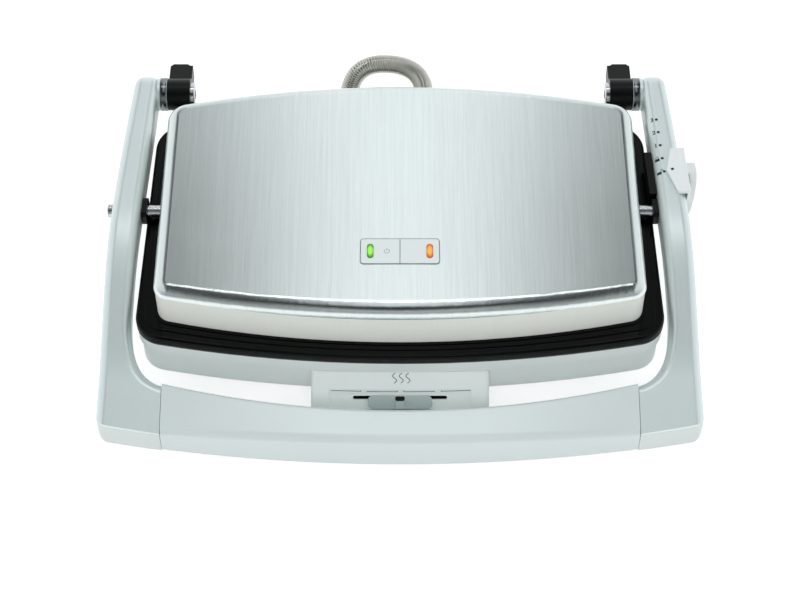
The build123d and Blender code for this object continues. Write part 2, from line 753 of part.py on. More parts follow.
def make_hinge_bracket():
    """Left hinge bracket: screwed foot, neck, axle head and the block behind it."""
    pad_face = STAND_END - STAND_PAD
    rear = AXLE_Y - BRACKET_HEAD_RADIUS
    with BuildPart() as bracket:
        with BuildSketch(Plane.YZ.offset(-BRACKET_INNER)):
            with BuildLine():
                Polyline((SEAT_FACE, SEAT_BOTTOM), (SEAT_FACE + 7.5, SEAT_BOTTOM),
                         (SEAT_FACE + 9.5, SEAT_TOP - 8), (AXLE_Y + 4, AXLE_Z - 14),
                         (pad_face, AXLE_Z - 10.5), (pad_face, AXLE_Z + 1), (AXLE_Y, AXLE_Z + 5),
                         (rear, AXLE_Z - 2), (SEAT_FACE, SEAT_TOP + 4), close=True)
            make_face()
        extrude(amount=-11.0)
        with BuildSketch(Plane.YZ.offset(-BRACKET_INNER)):
            with Locations((AXLE_Y, AXLE_Z)):
                Circle(BRACKET_HEAD_RADIUS)
        extrude(amount=-15.6)
        with BuildSketch(Plane.YZ.offset(-BRACKET_INNER - 1.7)):
            with BuildLine():
                Polyline((AXLE_Y + 6, AXLE_Z - 10.5), (pad_face, AXLE_Z - 10.5),
                         (pad_face, AXLE_Z + 1), (AXLE_Y + 6, AXLE_Z + 4), close=True)
            make_face()
        extrude(amount=-13.9)
        with BuildSketch(Plane.XZ.offset(-AXLE_Y - 6)):
            with BuildLine():
                below = AXLE_Z - BRACKET_HEAD_RADIUS - 1
                Polyline((-BRACKET_INNER - 12, below), (-BRACKET_INNER - 17, below),
                         (-BRACKET_INNER - 17, AXLE_Z - 4), close=True)
            make_face()
        extrude(amount=40, mode=Mode.SUBTRACT)
        with BuildSketch(Plane.YZ):
            with Locations((AXLE_Y, AXLE_Z)):
                Circle(AXLE_RADIUS + RUNNING_FIT)
        extrude(amount=-300, mode=Mode.SUBTRACT)
        for level in BRACKET_SCREW_LEVELS:
            with Locations(Plane(origin=(-BRACKET_SCREW_X, SEAT_FACE + 7.2, level),
                                 z_dir=(0, 1, 0))):
                CounterBoreHole(1.85, 3.6, 3.0, depth=12)
    return bracket.part


def make_bracket_screws():
    """Screws that hold the two brackets to the rear of the housing."""
    with BuildPart() as screws:
        for level in BRACKET_SCREW_LEVELS:
            for side in (-1, 1):
                with BuildSketch(Plane.XZ.offset(-SEAT_FACE - 4.2)):
                    with Locations((side * BRACKET_SCREW_X, level)):
                        Circle(3.4)
                extrude(amount=-2.2)
                with BuildSketch(Plane.XZ.offset(-SEAT_FACE - 4.2)):
                    with Locations((side * BRACKET_SCREW_X, level)):
                        Circle(1.75)
                extrude(amount=BRACKET_SCREW_LENGTH)
    return screws.part


def make_stand_pads():
    """Rubber pads on the rear of the brackets, which the press stands on when stored."""
    with BuildPart() as pads:
        for side in (-1, 1):
            with BuildSketch(Plane.XZ.offset(-(STAND_END - STAND_PAD))):
                with Locations((side * (BRACKET_INNER + 8.65), AXLE_Z - 4.75)):
                    RectangleRounded(12.4, 10.0, 2)
            extrude(amount=-STAND_PAD)
    return pads.part


AXLE_HEAD_RADIUS = 8.4
AXLE_HEAD = 3.0
HUB_RADIUS = 11.2
HUB_FACE = BRACKET_INNER + 15.6 + FIT
BUSH_OUTER = 6.5
BUSH_LENGTH = 16.0


def make_hinge_axles():
    """Shoulder bolts through the bracket heads into the arms, a hex recess in each head."""
    with BuildPart() as axles:
        with BuildSketch(Plane.YZ.offset(BRACKET_INNER)):
            with Locations((AXLE_Y, AXLE_Z)):
                Circle(AXLE_HEAD_RADIUS)
        extrude(amount=-AXLE_HEAD)
        chamfer(axles.faces().sort_by(Axis.X)[0].edges(), 0.6)
        with BuildSketch(Plane.YZ.offset(BRACKET_INNER)):
            with Locations((AXLE_Y, AXLE_Z)):
                Circle(AXLE_RADIUS)
        extrude(amount=HUB_FACE + BUSH_LENGTH - 0.4 - BRACKET_INNER)
        with BuildSketch(Plane.YZ.offset(BRACKET_INNER - AXLE_HEAD)):
            with Locations((AXLE_Y, AXLE_Z)):
                RegularPolygon(3.4, 6)
        extrude(amount=2.2, mode=Mode.SUBTRACT)
        mirror(about=Plane.YZ)
    return axles.part


def make_heat_control():
    """Track of the heat control, fixed behind the console's slot."""
    face = -(RECESS_DEPTH + HOUSING_WALL)
    with BuildPart() as control:
        with BuildSketch(apron_plane(face)):
            with Locations((0, -SLOT_DOWN + 1.0)):
                RectangleRounded(78, 7.4, 1.5)
        extrude(amount=-5.2)
        with BuildSketch(apron_plane(face)):
            with Locations((0, -SLOT_DOWN)):
                Rectangle(62, 3.8)
        extrude(amount=-3.4, mode=Mode.SUBTRACT)
    return control.part


def make_terminal_block():
    """Four-way screw terminal block on the bottom cover."""
    with BuildPart() as block:
        with BuildSketch(Plane.XY.offset(HOUSING_FLOOR)):
            with Locations((-70, 52)):
                RectangleRounded(40, 18, 1.5)
        extrude(amount=6)
        with BuildSketch(Plane.XY.offset(HOUSING_FLOOR + 6)):
            with Locations((-70, 52)):
                with GridLocations(9.5, 1, 4, 1):
                    RectangleRounded(7, 16, 1)
        extrude(amount=7)
        with BuildSketch(Plane.XY.offset(HOUSING_FLOOR + 13)):
            with Locations((-70, 52)):
                with GridLocations(9.5, 9, 4, 2):
                    Circle(2)
        extrude(amount=-5, mode=Mode.SUBTRACT)
    return block.part


def make_mains_inlet_gland():
    """Bushing in the rear wall that the mains lead comes out of."""
    wall = RIM_REAR - LOWER_WALL_INSET
    with BuildPart() as gland:
        with BuildSketch(Plane.XZ.offset(-wall)):
            with Locations((0, INLET_LEVEL)):
                Circle(8.5)
        extrude(amount=-2.4)
        fillet(gland.faces().sort_by(Axis.Y)[-1].edges(), 1.0)
        with BuildSketch(Plane.XZ.offset(-wall - 2.4)):
            with Locations((0, INLET_LEVEL)):
                Circle(INLET_BODY)
        extrude(amount=12.0)
        with BuildSketch(Plane.XZ.offset(-wall - 2.4)):
            with Locations((0, INLET_LEVEL)):
                Circle(INLET_BORE)
        extrude(amount=12.0, mode=Mode.SUBTRACT)
    return gland.part


# ---------------------------------------------------------------- conduit
CONDUIT_ROUTE = (
    (CONDUIT_LID[0], STEEL_REAR + 4.5, CONDUIT_LID[1]),
    (CONDUIT_LID[0], RIM_REAR + 30.3, CONDUIT_LID[1]),
    (GLAND_X, RIM_REAR + 30.3, CONDUIT_LID[1]),
    (GLAND_X, RIM_REAR + 8.0, BAND_TOP - 9.5),
)


def make_conduit():
    """Steel conduit looping from the lid's gland down to the base's gland."""
    with BuildPart() as conduit:
        with BuildLine() as route:
            FilletPolyline(*CONDUIT_ROUTE, radius=CONDUIT_BEND)
        with BuildSketch(Plane(origin=route.line @ 0, z_dir=route.line % 0)):
            Circle(CONDUIT_RADIUS)
        sweep()
    length = route.wires()[0].length
    print("conduit: bends", CONDUIT_BEND, "length", round(length, 1), "volume ratio",
          round(conduit.part.volume / (length * 3.14159265 * CONDUIT_RADIUS ** 2), 4))
    return conduit.part


def make_conduit_base_gland():
    """Elbow on the curved rear wall of the base that takes the foot of the conduit."""
    end = Vector(*CONDUIT_ROUTE[-1])
    along = (Vector(*CONDUIT_ROUTE[-1]) - Vector(*CONDUIT_ROUTE[-2])).normalized()
    wall = RIM_REAR - LOWER_WALL_INSET
    collar = CONDUIT_RADIUS + 2.2
    flange = 5.7
    spigot_length = 6.3
    with BuildPart() as gland:
        with BuildSketch(Plane(origin=end, z_dir=along)):
            Circle(collar)
        extrude(amount=9.0)
        with BuildSketch(Plane.XZ.offset(-wall - flange)):
            with Locations((GLAND_X, INLET_LEVEL + 1)):
                RectangleRounded(2 * collar, 18, 3)
        extrude(amount=flange + 2)
        with BuildSketch(Plane.XY.offset(BAND_BOTTOM - FIT)):
            with Locations((GLAND_X, wall - 10)):
                Rectangle(40, 2 * (RIM_REAR - wall + 10))
        extrude(amount=20.0, mode=Mode.SUBTRACT)
        slab(rim_outline(HOUSING_FLOOR, LOWER_WALL_INSET - RUNNING_FIT), 60, Mode.SUBTRACT)
        with BuildSketch(Plane.XZ.offset(-wall - 1)):
            with Locations((GLAND_X, INLET_LEVEL)):
                Circle(4.9)
        extrude(amount=spigot_length + 1)
        with BuildSketch(Plane(origin=end, z_dir=along)):
            Circle(CONDUIT_RADIUS - 1.2)
        extrude(amount=10.0, mode=Mode.SUBTRACT)
    return gland.part


# ---------------------------------------------------------------- handle
AXLE_END_RADIUS = ARM_DEPTH / 2
ARM_REAR = AXLE_Y + AXLE_END_RADIUS
SHOULDER_Y = RIM_FRONT + 83.2
KNEE_Y = RIM_FRONT + 7.0
UNDER_REAR = AXLE_Y - 15.5
UNDER_TOP = ARM_TOP - 20.0
SEAM_GAP = 0.15


def bar_front(x):
    """Front edge of the bar and of the arms' ends at a distance x from the middle."""
    return BAR_FRONT + BAR_FRONT_BOW * (x / BAR_SEAM) ** 2


def bar_blend(x, middle, seam):
    """Value that runs from the middle of the bar to its seams with the arms."""
    return middle + (seam - middle) * (x / BAR_SEAM) ** 2


SEAM_REAR = bar_front(BAR_SEAM) + BAR_SEAM_DEPTH
TOE_SLOPE = (SEAM_TOP_REAR - SEAM_TOP_FRONT) / BAR_SEAM_DEPTH


def toe_level(y):
    """Level of the top of the arm's front end at a depth y."""
    return SEAM_TOP_REAR + TOE_SLOPE * (y - SEAM_REAR)


def arm_outer(y, bulge):
    """Distance of an arm's outer face from the middle at a depth y."""
    return arm_inner(y) + ARM_WIDTH + bulge


def arm_plan(long_ends=False):
    """Plan of the right arm: tapering beam that sweeps in to the seam with the bar.

    With long ends it runs on past the seam and the front, for rounding its long edges.
    """
    overrun = 25.0
    start = SEAM_REAR + 49.5
    corner_y = bar_front(arm_inner(bar_front(BAR_SEAM)) + ARM_WIDTH)
    corner = (arm_outer(corner_y, 0), corner_y)
    rear_in = (arm_inner(ARM_REAR), ARM_REAR)
    rear_out = (arm_outer(ARM_REAR, 0), ARM_REAR)
    seam_rear = (BAR_SEAM + SEAM_GAP, SEAM_REAR)
    middle = (arm_outer(0, ARM_BULGE), 0)
    with BuildSketch() as plan:
        with BuildLine():
            Line(rear_in, (arm_inner(start), start))
            Bezier((arm_inner(start), start), (arm_inner(start - 26), start - 26),
                   (BAR_SEAM + 17, SEAM_REAR + 4.5), seam_rear)
            outer = ThreePointArc(rear_out, middle, corner)
            Line(rear_out, rear_in)
            if long_ends:
                inward = (BAR_SEAM - overrun, SEAM_REAR - overrun * 0.265)
                low = corner_y - overrun
                Line(seam_rear, inward)
                Line(inward, (inward[0], low))
                Line((inward[0], low), (corner[0], low))
                Line((corner[0], low), outer @ 1)
            else:
                seam_front = (BAR_SEAM + SEAM_GAP, bar_front(BAR_SEAM))
                half_way = (seam_front[0] + corner[0]) / 2
                Line(seam_rear, seam_front)
                ThreePointArc(seam_front, (half_way, bar_front(half_way)), corner)
        make_face()
        if not long_ends:
            fillet(plan.vertices().sort_by_distance(corner)[0], ARM_CORNER_RADIUS)
    return plan.sketch


def arm_side(drop=0.0):
    """Side view of an arm: round end at the axle, level run, slope and toe."""
    top = ARM_TOP - drop
    knee = toe_level(KNEE_Y) - drop
    toe_end = BAR_FRONT - 30.0
    heel = SEAM_REAR - 8.0
    with BuildSketch(Plane.YZ) as side:
        with BuildLine():
            Polyline((AXLE_Y, top), (SHOULDER_Y, top), (KNEE_Y, knee),
                     (toe_end, toe_level(toe_end) - drop), (toe_end, HANDLE_FLOOR),
                     (heel, HANDLE_FLOOR), (SHOULDER_Y - 8, ARM_TOP - ARM_DEPTH),
                     (AXLE_Y, ARM_TOP - ARM_DEPTH))
            ThreePointArc((AXLE_Y, ARM_TOP - ARM_DEPTH), (ARM_REAR, AXLE_Z), (AXLE_Y, top))
        make_face()
        fillet(side.vertices().sort_by_distance((SHOULDER_Y, top))[0], 150)
        fillet(side.vertices().sort_by_distance((KNEE_Y, knee))[0], 110)
        fillet(side.vertices().sort_by_distance((heel, HANDLE_FLOOR))[0], 40)
        fillet(side.vertices().sort_by_distance((SHOULDER_Y - 8, ARM_TOP - ARM_DEPTH))[0], 100)
    return side.sketch


def under_side(gap=0.0):
    """Side view of the zone below the parting line of an arm."""
    front = BAR_FRONT - 40.0
    with BuildSketch(Plane.YZ) as side:
        with BuildLine():
            Polyline((UNDER_REAR - gap, UNDER_TOP - gap), (0, UNDER_TOP - gap),
                     (KNEE_Y + 4, toe_level(KNEE_Y) - 8 - gap),
                     (front, toe_level(front) + 5.0 - gap), (front, -5), (UNDER_REAR - gap, -5),
                     close=True)
        make_face()
    return side.sketch


def arm_strip(inset, rear, front):
    """Straight strip inside the walls of the right arm, for its hollow."""
    with BuildSketch(Plane.XY) as strip:
        with BuildLine():
            Line((arm_inner(rear) + inset, rear), (arm_inner(front) + inset, front))
            Line((arm_inner(front) + inset, front), (arm_outer(front, 0.2) - inset, front))
            ThreePointArc((arm_outer(front, 0.2) - inset, front),
                          (arm_outer(0, ARM_BULGE) - inset, 0),
                          (arm_outer(rear, 0.2) - inset, rear))
            Line((arm_outer(rear, 0.2) - inset, rear), (arm_inner(rear) + inset, rear))
        make_face()
    return strip.sketch


ARM_BOTTOM = ARM_TOP - ARM_DEPTH
HEEL_Y = SEAM_REAR - 8.0


def arm_middle(y):
    """Level half-way down an arm at a depth y, which parts its top edges from its lower ones."""
    share = min(max((y - KNEE_Y) / (SHOULDER_Y - KNEE_Y), 0), 1)
    knee = toe_level(min(y, KNEE_Y)) - 8
    return knee + share * (AXLE_Z - knee)


def is_long_top(edge):
    """True for an edge that runs along the top of the arm, not across it."""
    middle = edge @ 0.5
    runs_along = abs((edge @ 0).Y - (edge @ 1).Y) > 0.5
    on_arm = BAR_FRONT - 3 < middle.Y < AXLE_Y and middle.X > BAR_SEAM - 20
    return runs_along and on_arm and middle.Z > arm_middle(middle.Y)


def make_arm_blank():
    """Whole right arm with its long edges rounded."""
    with BuildPart() as blank:
        extrude(arm_plan(long_ends=True), amount=100)
        extrude(arm_side(), amount=300, mode=Mode.INTERSECT)
        fillet([edge for edge in blank.edges() if is_long_top(edge)], ARM_EDGE_RADIUS)
        with BuildSketch():
            add(arm_plan(long_ends=True))
            add(arm_plan(), mode=Mode.SUBTRACT)
        extrude(amount=100, mode=Mode.SUBTRACT)
    return blank.part


def slider_plane(level):
    """Plane along the right arm's inner face: x points out of it, y to the rear."""
    return Plane(origin=(ARM_IN_ZERO, 0, level), x_dir=(1, ARM_TAPER, 0), z_dir=(0, 0, 1))


LINK_AT = 40.0
LINK_HALF = 4.0
LINK_LEVEL = 64.0
LINK_THICK = 3.0
ARM_SCREW_SPOTS = (AXLE_Y - 21.5, KNEE_Y + 42.0)
SCREW_SINK = 1.8


def arm_screw_x(y):
    """Distance of an arm screw from the middle, half-way across the arm."""
    return (arm_inner(y) + arm_outer(y, 1.2)) / 2


def arm_screw_seat(y):
    """Level that a screw's head bears on in the underside of an arm."""
    share = min((y - HEEL_Y) / (SHOULDER_Y - 8 - HEEL_Y), 1)
    return HANDLE_FLOOR + share * (ARM_BOTTOM - HANDLE_FLOOR) + SCREW_SINK


def arm_posts(radius, top=100.0):
    """Upright cylinders round the arm's screws."""
    with BuildPart() as posts:
        for y in ARM_SCREW_SPOTS:
            with BuildSketch():
                with Locations((arm_screw_x(y), y)):
                    Circle(radius)
            extrude(amount=top)
    return posts.part


def make_right_arm(blank, with_slot):
    """Upper shell of the right arm: hollow casting with hub, bores and screw posts."""
    with BuildPart() as hollow:
        extrude(arm_strip(ARM_WALL, UNDER_REAR, KNEE_Y + 2), amount=100)
        extrude(arm_side(ARM_TOP_WALL), amount=300, mode=Mode.INTERSECT)
        add(arm_posts(3.6), mode=Mode.SUBTRACT)
    with BuildPart() as arm:
        add(blank)
        extrude(under_side(), amount=300, mode=Mode.SUBTRACT)
        add(hollow.part, mode=Mode.SUBTRACT)
        with BuildSketch(Plane.YZ.offset(HUB_FACE)):
            with Locations((AXLE_Y, AXLE_Z)):
                Circle(HUB_RADIUS)
        extrude(amount=arm_inner(AXLE_Y) + 1 - HUB_FACE)
        with BuildSketch(Plane.YZ.offset(HUB_FACE)):
            with Locations((AXLE_Y, AXLE_Z)):
                Circle(BUSH_OUTER + RUNNING_FIT)
        extrude(amount=BUSH_LENGTH, mode=Mode.SUBTRACT)
        side_bore(PIVOT_RADIUS + RUNNING_FIT, PIVOT_Y, PIVOT_Z)
        for y in ARM_SCREW_SPOTS:
            with BuildSketch():
                with Locations((arm_screw_x(y), y)):
                    Circle(1.4)
            extrude(amount=arm_middle(y) + 6, mode=Mode.SUBTRACT)
        if with_slot:
            with BuildSketch(slider_plane(LINK_LEVEL - FIT)):
                with Locations((10, LINK_AT + HEIGHT_TRAVEL / 2)):
                    Rectangle(40, 2 * (LINK_HALF + FIT) + HEIGHT_TRAVEL)
            extrude(amount=LINK_THICK + 2 * FIT, mode=Mode.SUBTRACT)
    return arm.part


TONGUE_LENGTH = 12.0
TONGUE_WIDTH = 14.0
TONGUE_HEIGHT = 9.0
TONGUE_Y = (bar_front(BAR_SEAM) + SEAM_REAR) / 2 - 2
TONGUE_Z = HANDLE_FLOOR + 5 + TONGUE_HEIGHT / 2
UNDER_FLOOR = 2.4


def make_right_under(blank):
    """Lower shell of the right arm, with the tongue that carries the bar."""
    with BuildPart() as hollow:
        extrude(arm_strip(ARM_WALL, UNDER_REAR - 3, KNEE_Y + 2), amount=100)
        extrude(arm_side(), amount=300, mode=Mode.INTERSECT)
        add(arm_posts(4.6), mode=Mode.SUBTRACT)
    with BuildPart() as under:
        add(blank)
        extrude(under_side(FIT), amount=300, mode=Mode.INTERSECT)
        with Locations((0, 0, UNDER_FLOOR)):
            add(hollow.part, mode=Mode.SUBTRACT)
        with BuildSketch(Plane.YZ.offset(BAR_SEAM - TONGUE_LENGTH)):
            with Locations((TONGUE_Y, TONGUE_Z)):
                RectangleRounded(TONGUE_WIDTH, TONGUE_HEIGHT, 2)
        extrude(amount=TONGUE_LENGTH + 1)
        add(arm_posts(1.8), mode=Mode.SUBTRACT)
        for y in ARM_SCREW_SPOTS:
            with BuildSketch():
                with Locations((arm_screw_x(y), y)):
                    Circle(3.4)
            extrude(amount=arm_screw_seat(y), mode=Mode.SUBTRACT)
    return under.part


def make_arm_screws():
    """Screws that hold the lower shells to the arms."""
    with BuildPart() as screws:
        for y in ARM_SCREW_SPOTS:
            seat = arm_screw_seat(y)
            with BuildSketch(Plane.XY.offset(seat)):
                with Locations((arm_screw_x(y), y)):
                    Circle(3.1)
            extrude(amount=-SCREW_SINK)
            with BuildSketch(Plane.XY.offset(seat)):
                with Locations((arm_screw_x(y), y)):
                    Circle(1.35)
            extrude(amount=arm_middle(y) + 5 - seat)
        mirror(about=Plane.YZ)
    return screws.part


def make_hinge_bushes():
    """Sleeves in the arms' hubs that run on the axles."""
    with BuildPart() as bushes:
        with BuildSketch(Plane.YZ.offset(HUB_FACE)):
            with Locations((AXLE_Y, AXLE_Z)):
                Circle(BUSH_OUTER)
                Circle(AXLE_RADIUS + RUNNING_FIT, mode=Mode.SUBTRACT)
        extrude(amount=BUSH_LENGTH)
        mirror(about=Plane.YZ)
    return bushes.part


BOLT_INNER = EAR_FACE - EAR_SHEET - 1.2 - FIT
NUT_HEIGHT = 4.5
BOLT_HEAD_RADIUS = 4.6
BOLT_HEAD = 3.4


def make_pivot_bolts():
    """Bolts from the arms into the lid: a proud head on the left, a flush end on the right."""
    outer = arm_outer(PIVOT_Y, ARM_BULGE)
    start = BOLT_INNER - NUT_HEIGHT - 0.8
    with BuildPart() as bolts:
        with BuildSketch(Plane.YZ.offset(start)):
            with Locations((PIVOT_Y, PIVOT_Z)):
                Circle(PIVOT_RADIUS)
        extrude(amount=outer - 0.4 - start)
        with BuildSketch(Plane.YZ.offset(-start)):
            with Locations((PIVOT_Y, PIVOT_Z)):
                Circle(PIVOT_RADIUS)
        extrude(amount=start - outer - 0.4)
        with BuildSketch(Plane.YZ.offset(-outer - 0.4)):
            with Locations((PIVOT_Y, PIVOT_Z)):
                Circle(BOLT_HEAD_RADIUS)
        extrude(amount=-BOLT_HEAD)
        chamfer(bolts.faces().sort_by(Axis.X)[0].edges(), 0.5)
    return bolts.part


def make_pivot_nuts():
    """Hexagon nuts that keep the pivot bolts in the lid's ears."""
    with BuildPart() as nuts:
        with BuildSketch(Plane.YZ.offset(BOLT_INNER)):
            with Locations((PIVOT_Y, PIVOT_Z)):
                RegularPolygon(5.7, 6)
                Circle(PIVOT_RADIUS + RUNNING_FIT, mode=Mode.SUBTRACT)
        extrude(amount=-NUT_HEIGHT)
        mirror(about=Plane.YZ)
    return nuts.part


SPACER_THICK = 3.4
SPACER_LENGTH = 15.5
SPACER_HEIGHT = 12.4


def make_pivot_spacers():
    """Black blocks round the pivot bolts on the arms' inner faces."""
    with BuildPart() as spacers:
        for side in (-1, 1):
            plane = Plane(origin=(side * (ARM_IN_ZERO - FIT), 0, PIVOT_Z),
                          x_dir=(-side * ARM_TAPER, 1, 0), z_dir=(-side, -ARM_TAPER, 0))
            with BuildSketch(plane):
                with Locations((PIVOT_Y, 0)):
                    RectangleRounded(SPACER_LENGTH, SPACER_HEIGHT, 3)
            extrude(amount=SPACER_THICK)
        side_bore(PIVOT_RADIUS + RUNNING_FIT, PIVOT_Y, PIVOT_Z)
    return spacers.part


def bar_loft(inset, drop=0.0):
    """Solid of the bar, lofted through five sections that swell towards the middle."""
    reach = BAR_SEAM - SEAM_GAP - inset
    with BuildPart() as bar:
        for share in (-1, -0.5, 0, 0.5, 1):
            x = share * reach
            front = bar_front(x) + inset
            rear = bar_front(x) + bar_blend(x, BAR_DEPTH, BAR_SEAM_DEPTH) - inset
            top_rear = bar_blend(x, BAR_TOP_REAR, SEAM_TOP_REAR) - inset
            top_front = bar_blend(x, BAR_TOP_FRONT, SEAM_TOP_FRONT) - inset
            bottom = HANDLE_FLOOR - drop
            with BuildSketch(Plane.YZ.offset(x)):
                with BuildLine():
                    Polyline((front, bottom), (rear, bottom), (rear, top_rear),
                             (front, top_front), close=True)
                make_face()
        loft()
    return bar.part


BAR_POSTS = (-BAR_SEAM * 0.69, -BAR_SEAM * 0.23, BAR_SEAM * 0.23, BAR_SEAM * 0.69)
BAR_COVER_TOP = HANDLE_FLOOR + 2.6
BAR_COVER_SINK = 0.4
BAR_TOP_RADIUS = 6.0


def bar_middle(x):
    """Depth half-way through the bar at a distance x from the middle."""
    return bar_front(x) + bar_blend(x, BAR_DEPTH, BAR_SEAM_DEPTH) / 2


def bar_circles(level, radius):
    """One circle round each screw of the bar."""
    with BuildSketch(Plane.XY.offset(level)) as circles:
        for x in BAR_POSTS:
            with Locations((x, bar_middle(x))):
                Circle(radius)
    return circles.sketch


def is_bar_length(edge):
    """True for an edge that runs the whole length of the bar."""
    return abs((edge @ 0).X - (edge @ 1).X) > BAR_SEAM


def make_front_bar():
    """Upper moulding of the bar: crowned, hollow from below, with posts and end windows."""
    with BuildPart() as hollow:
        add(bar_loft(BAR_WALL, 1.0))
        extrude(bar_circles(BAR_COVER_TOP, 3.6), amount=60, mode=Mode.SUBTRACT)
    with BuildPart() as bar:
        add(bar_loft(0))
        lengths = bar.edges().filter_by(is_bar_length).sort_by(lambda edge: (edge @ 0.5).Z)
        fillet(lengths[2], BAR_TOP_RADIUS)
        lengths = bar.edges().filter_by(is_bar_length).sort_by(lambda edge: (edge @ 0.5).Z)
        fillet(lengths[-1], 2.5)
        lengths = bar.edges().filter_by(is_bar_length).sort_by(lambda edge: (edge @ 0.5).Z)
        fillet(lengths[:2], 1.8)
        add(hollow.part, mode=Mode.SUBTRACT)
        extrude(bar_circles(BAR_COVER_TOP, 1.4), amount=9, mode=Mode.SUBTRACT)
        for side in (-1, 1):
            with BuildSketch(Plane.YZ.offset(side * (BAR_SEAM - 8))):
                with Locations((TONGUE_Y, TONGUE_Z)):
                    RectangleRounded(TONGUE_WIDTH + 2 * FIT, TONGUE_HEIGHT + 2 * FIT, 2 + FIT)
            extrude(amount=side * 20, mode=Mode.SUBTRACT)
    return bar.part


def make_front_bar_cover():
    """Cover let into the underside of the bar."""
    with BuildPart() as cover:
        add(bar_loft(BAR_WALL + FIT, 1.0))
        with BuildSketch(Plane.XY.offset(HANDLE_FLOOR + BAR_COVER_SINK)):
            with Locations((0, BAR_FRONT + 20)):
                Rectangle(400, 120)
        extrude(amount=BAR_COVER_TOP - HANDLE_FLOOR - BAR_COVER_SINK, mode=Mode.INTERSECT)
        extrude(bar_circles(0, 1.8), amount=30, mode=Mode.SUBTRACT)
    return cover.part


def make_bar_screws():
    """Screws that hold the bar's cover."""
    seat = HANDLE_FLOOR + BAR_COVER_SINK
    with BuildPart() as screws:
        extrude(bar_circles(seat, 3.0), amount=-1.6)
        extrude(bar_circles(seat, 1.35), amount=10.0)
    return screws.part


# ---------------------------------------------------------------- height slider
KNOB_CLEAR = ARM_WIDTH + ARM_BULGE + FIT
KNOB_SHEET = 2.0
KNOB_REAR = 59.3
KNOB_FRONT = 21.7
KNOB_POINT = (7.3, 40.9)
GRIP_OUT = 29.6
GRIP_REAR = 54.5
GRIP_FRONT = 23.0
GRIP_BOTTOM = 50.0
GRIP_TOP = 67.0
GRIP_TOE = 53.0


def make_grip():
    """D-shaped finger grip with a flat rear top and a ramp down to its front."""
    outside = KNOB_CLEAR + KNOB_SHEET
    along = Plane(origin=(ARM_IN_ZERO, 0, 0), x_dir=(-ARM_TAPER, 1, 0), z_dir=(1, ARM_TAPER, 0))
    with BuildPart() as grip:
        with BuildSketch(slider_plane(GRIP_BOTTOM)):
            with BuildLine():
                Polyline((outside + 1.5, GRIP_FRONT), (outside - 1, GRIP_FRONT),
                         (outside - 1, GRIP_REAR), (GRIP_OUT - 1, GRIP_REAR))
                ThreePointArc((GRIP_OUT - 1, GRIP_REAR), (GRIP_OUT - 0.4, GRIP_REAR - 11),
                              (outside + 1.5, GRIP_FRONT))
            make_face()
        extrude(amount=GRIP_TOP - GRIP_BOTTOM)
        with BuildSketch(along):
            with BuildLine():
                Polyline((GRIP_REAR, GRIP_BOTTOM), (GRIP_REAR, GRIP_TOP), (GRIP_REAR - 9, GRIP_TOP),
                         (GRIP_FRONT, GRIP_TOE), (GRIP_FRONT, GRIP_BOTTOM), close=True)
            make_face()
        extrude(amount=100, mode=Mode.INTERSECT)
        fillet(grip.faces().sort_by(Axis.Z)[-1].edges().sort_by(Axis.Y)[-1], 1.5)
    return grip.part


def make_height_knob():
    """Slider knob: pointer plate over the arm, skirt down its side and the finger grip."""
    outside = KNOB_CLEAR + KNOB_SHEET
    level = ARM_TOP + FIT
    thick = KNOB_SHEET + 0.4
    with BuildPart() as knob:
        with BuildSketch(slider_plane(level)):
            with BuildLine():
                Polyline((12, KNOB_REAR), (outside, KNOB_REAR), (outside, KNOB_FRONT),
                         (13, KNOB_FRONT), KNOB_POINT, close=True)
            make_face()
        extrude(amount=thick)
        with BuildSketch(slider_plane(GRIP_BOTTOM)):
            with Locations((KNOB_CLEAR + KNOB_SHEET / 2, (KNOB_REAR + KNOB_FRONT) / 2)):
                Rectangle(KNOB_SHEET, KNOB_REAR - KNOB_FRONT)
        extrude(amount=level + thick - GRIP_BOTTOM)
        fillet(knob.faces().sort_by(Axis.Z)[-1].edges(), 0.6)
        add(make_grip())
        with BuildSketch(slider_plane(LINK_LEVEL - RUNNING_FIT)):
            with Locations((KNOB_CLEAR + 1, LINK_AT)):
                Rectangle(8, 2 * (LINK_HALF + RUNNING_FIT))
        extrude(amount=LINK_THICK + 2 * RUNNING_FIT, mode=Mode.SUBTRACT)
    return knob.part


LINK_SINK = 2.4


def make_slider_link():
    """Steel tongue through both walls of the arm, joining the knob to the cam bar."""
    inner = -FIT - LINK_SINK
    outer = KNOB_CLEAR + 4.6
    with BuildPart() as link:
        with BuildSketch(slider_plane(LINK_LEVEL)):
            with Locations(((inner + outer) / 2, LINK_AT)):
                Rectangle(outer - inner, 2 * LINK_HALF)
        extrude(amount=LINK_THICK)
    return link.part


CAM_THICK = 4.5
CAM_REAR = 61.0
CAM_BOTTOM = 56.0
CAM_TOP = 70.5
CAM_STEP = 1.4


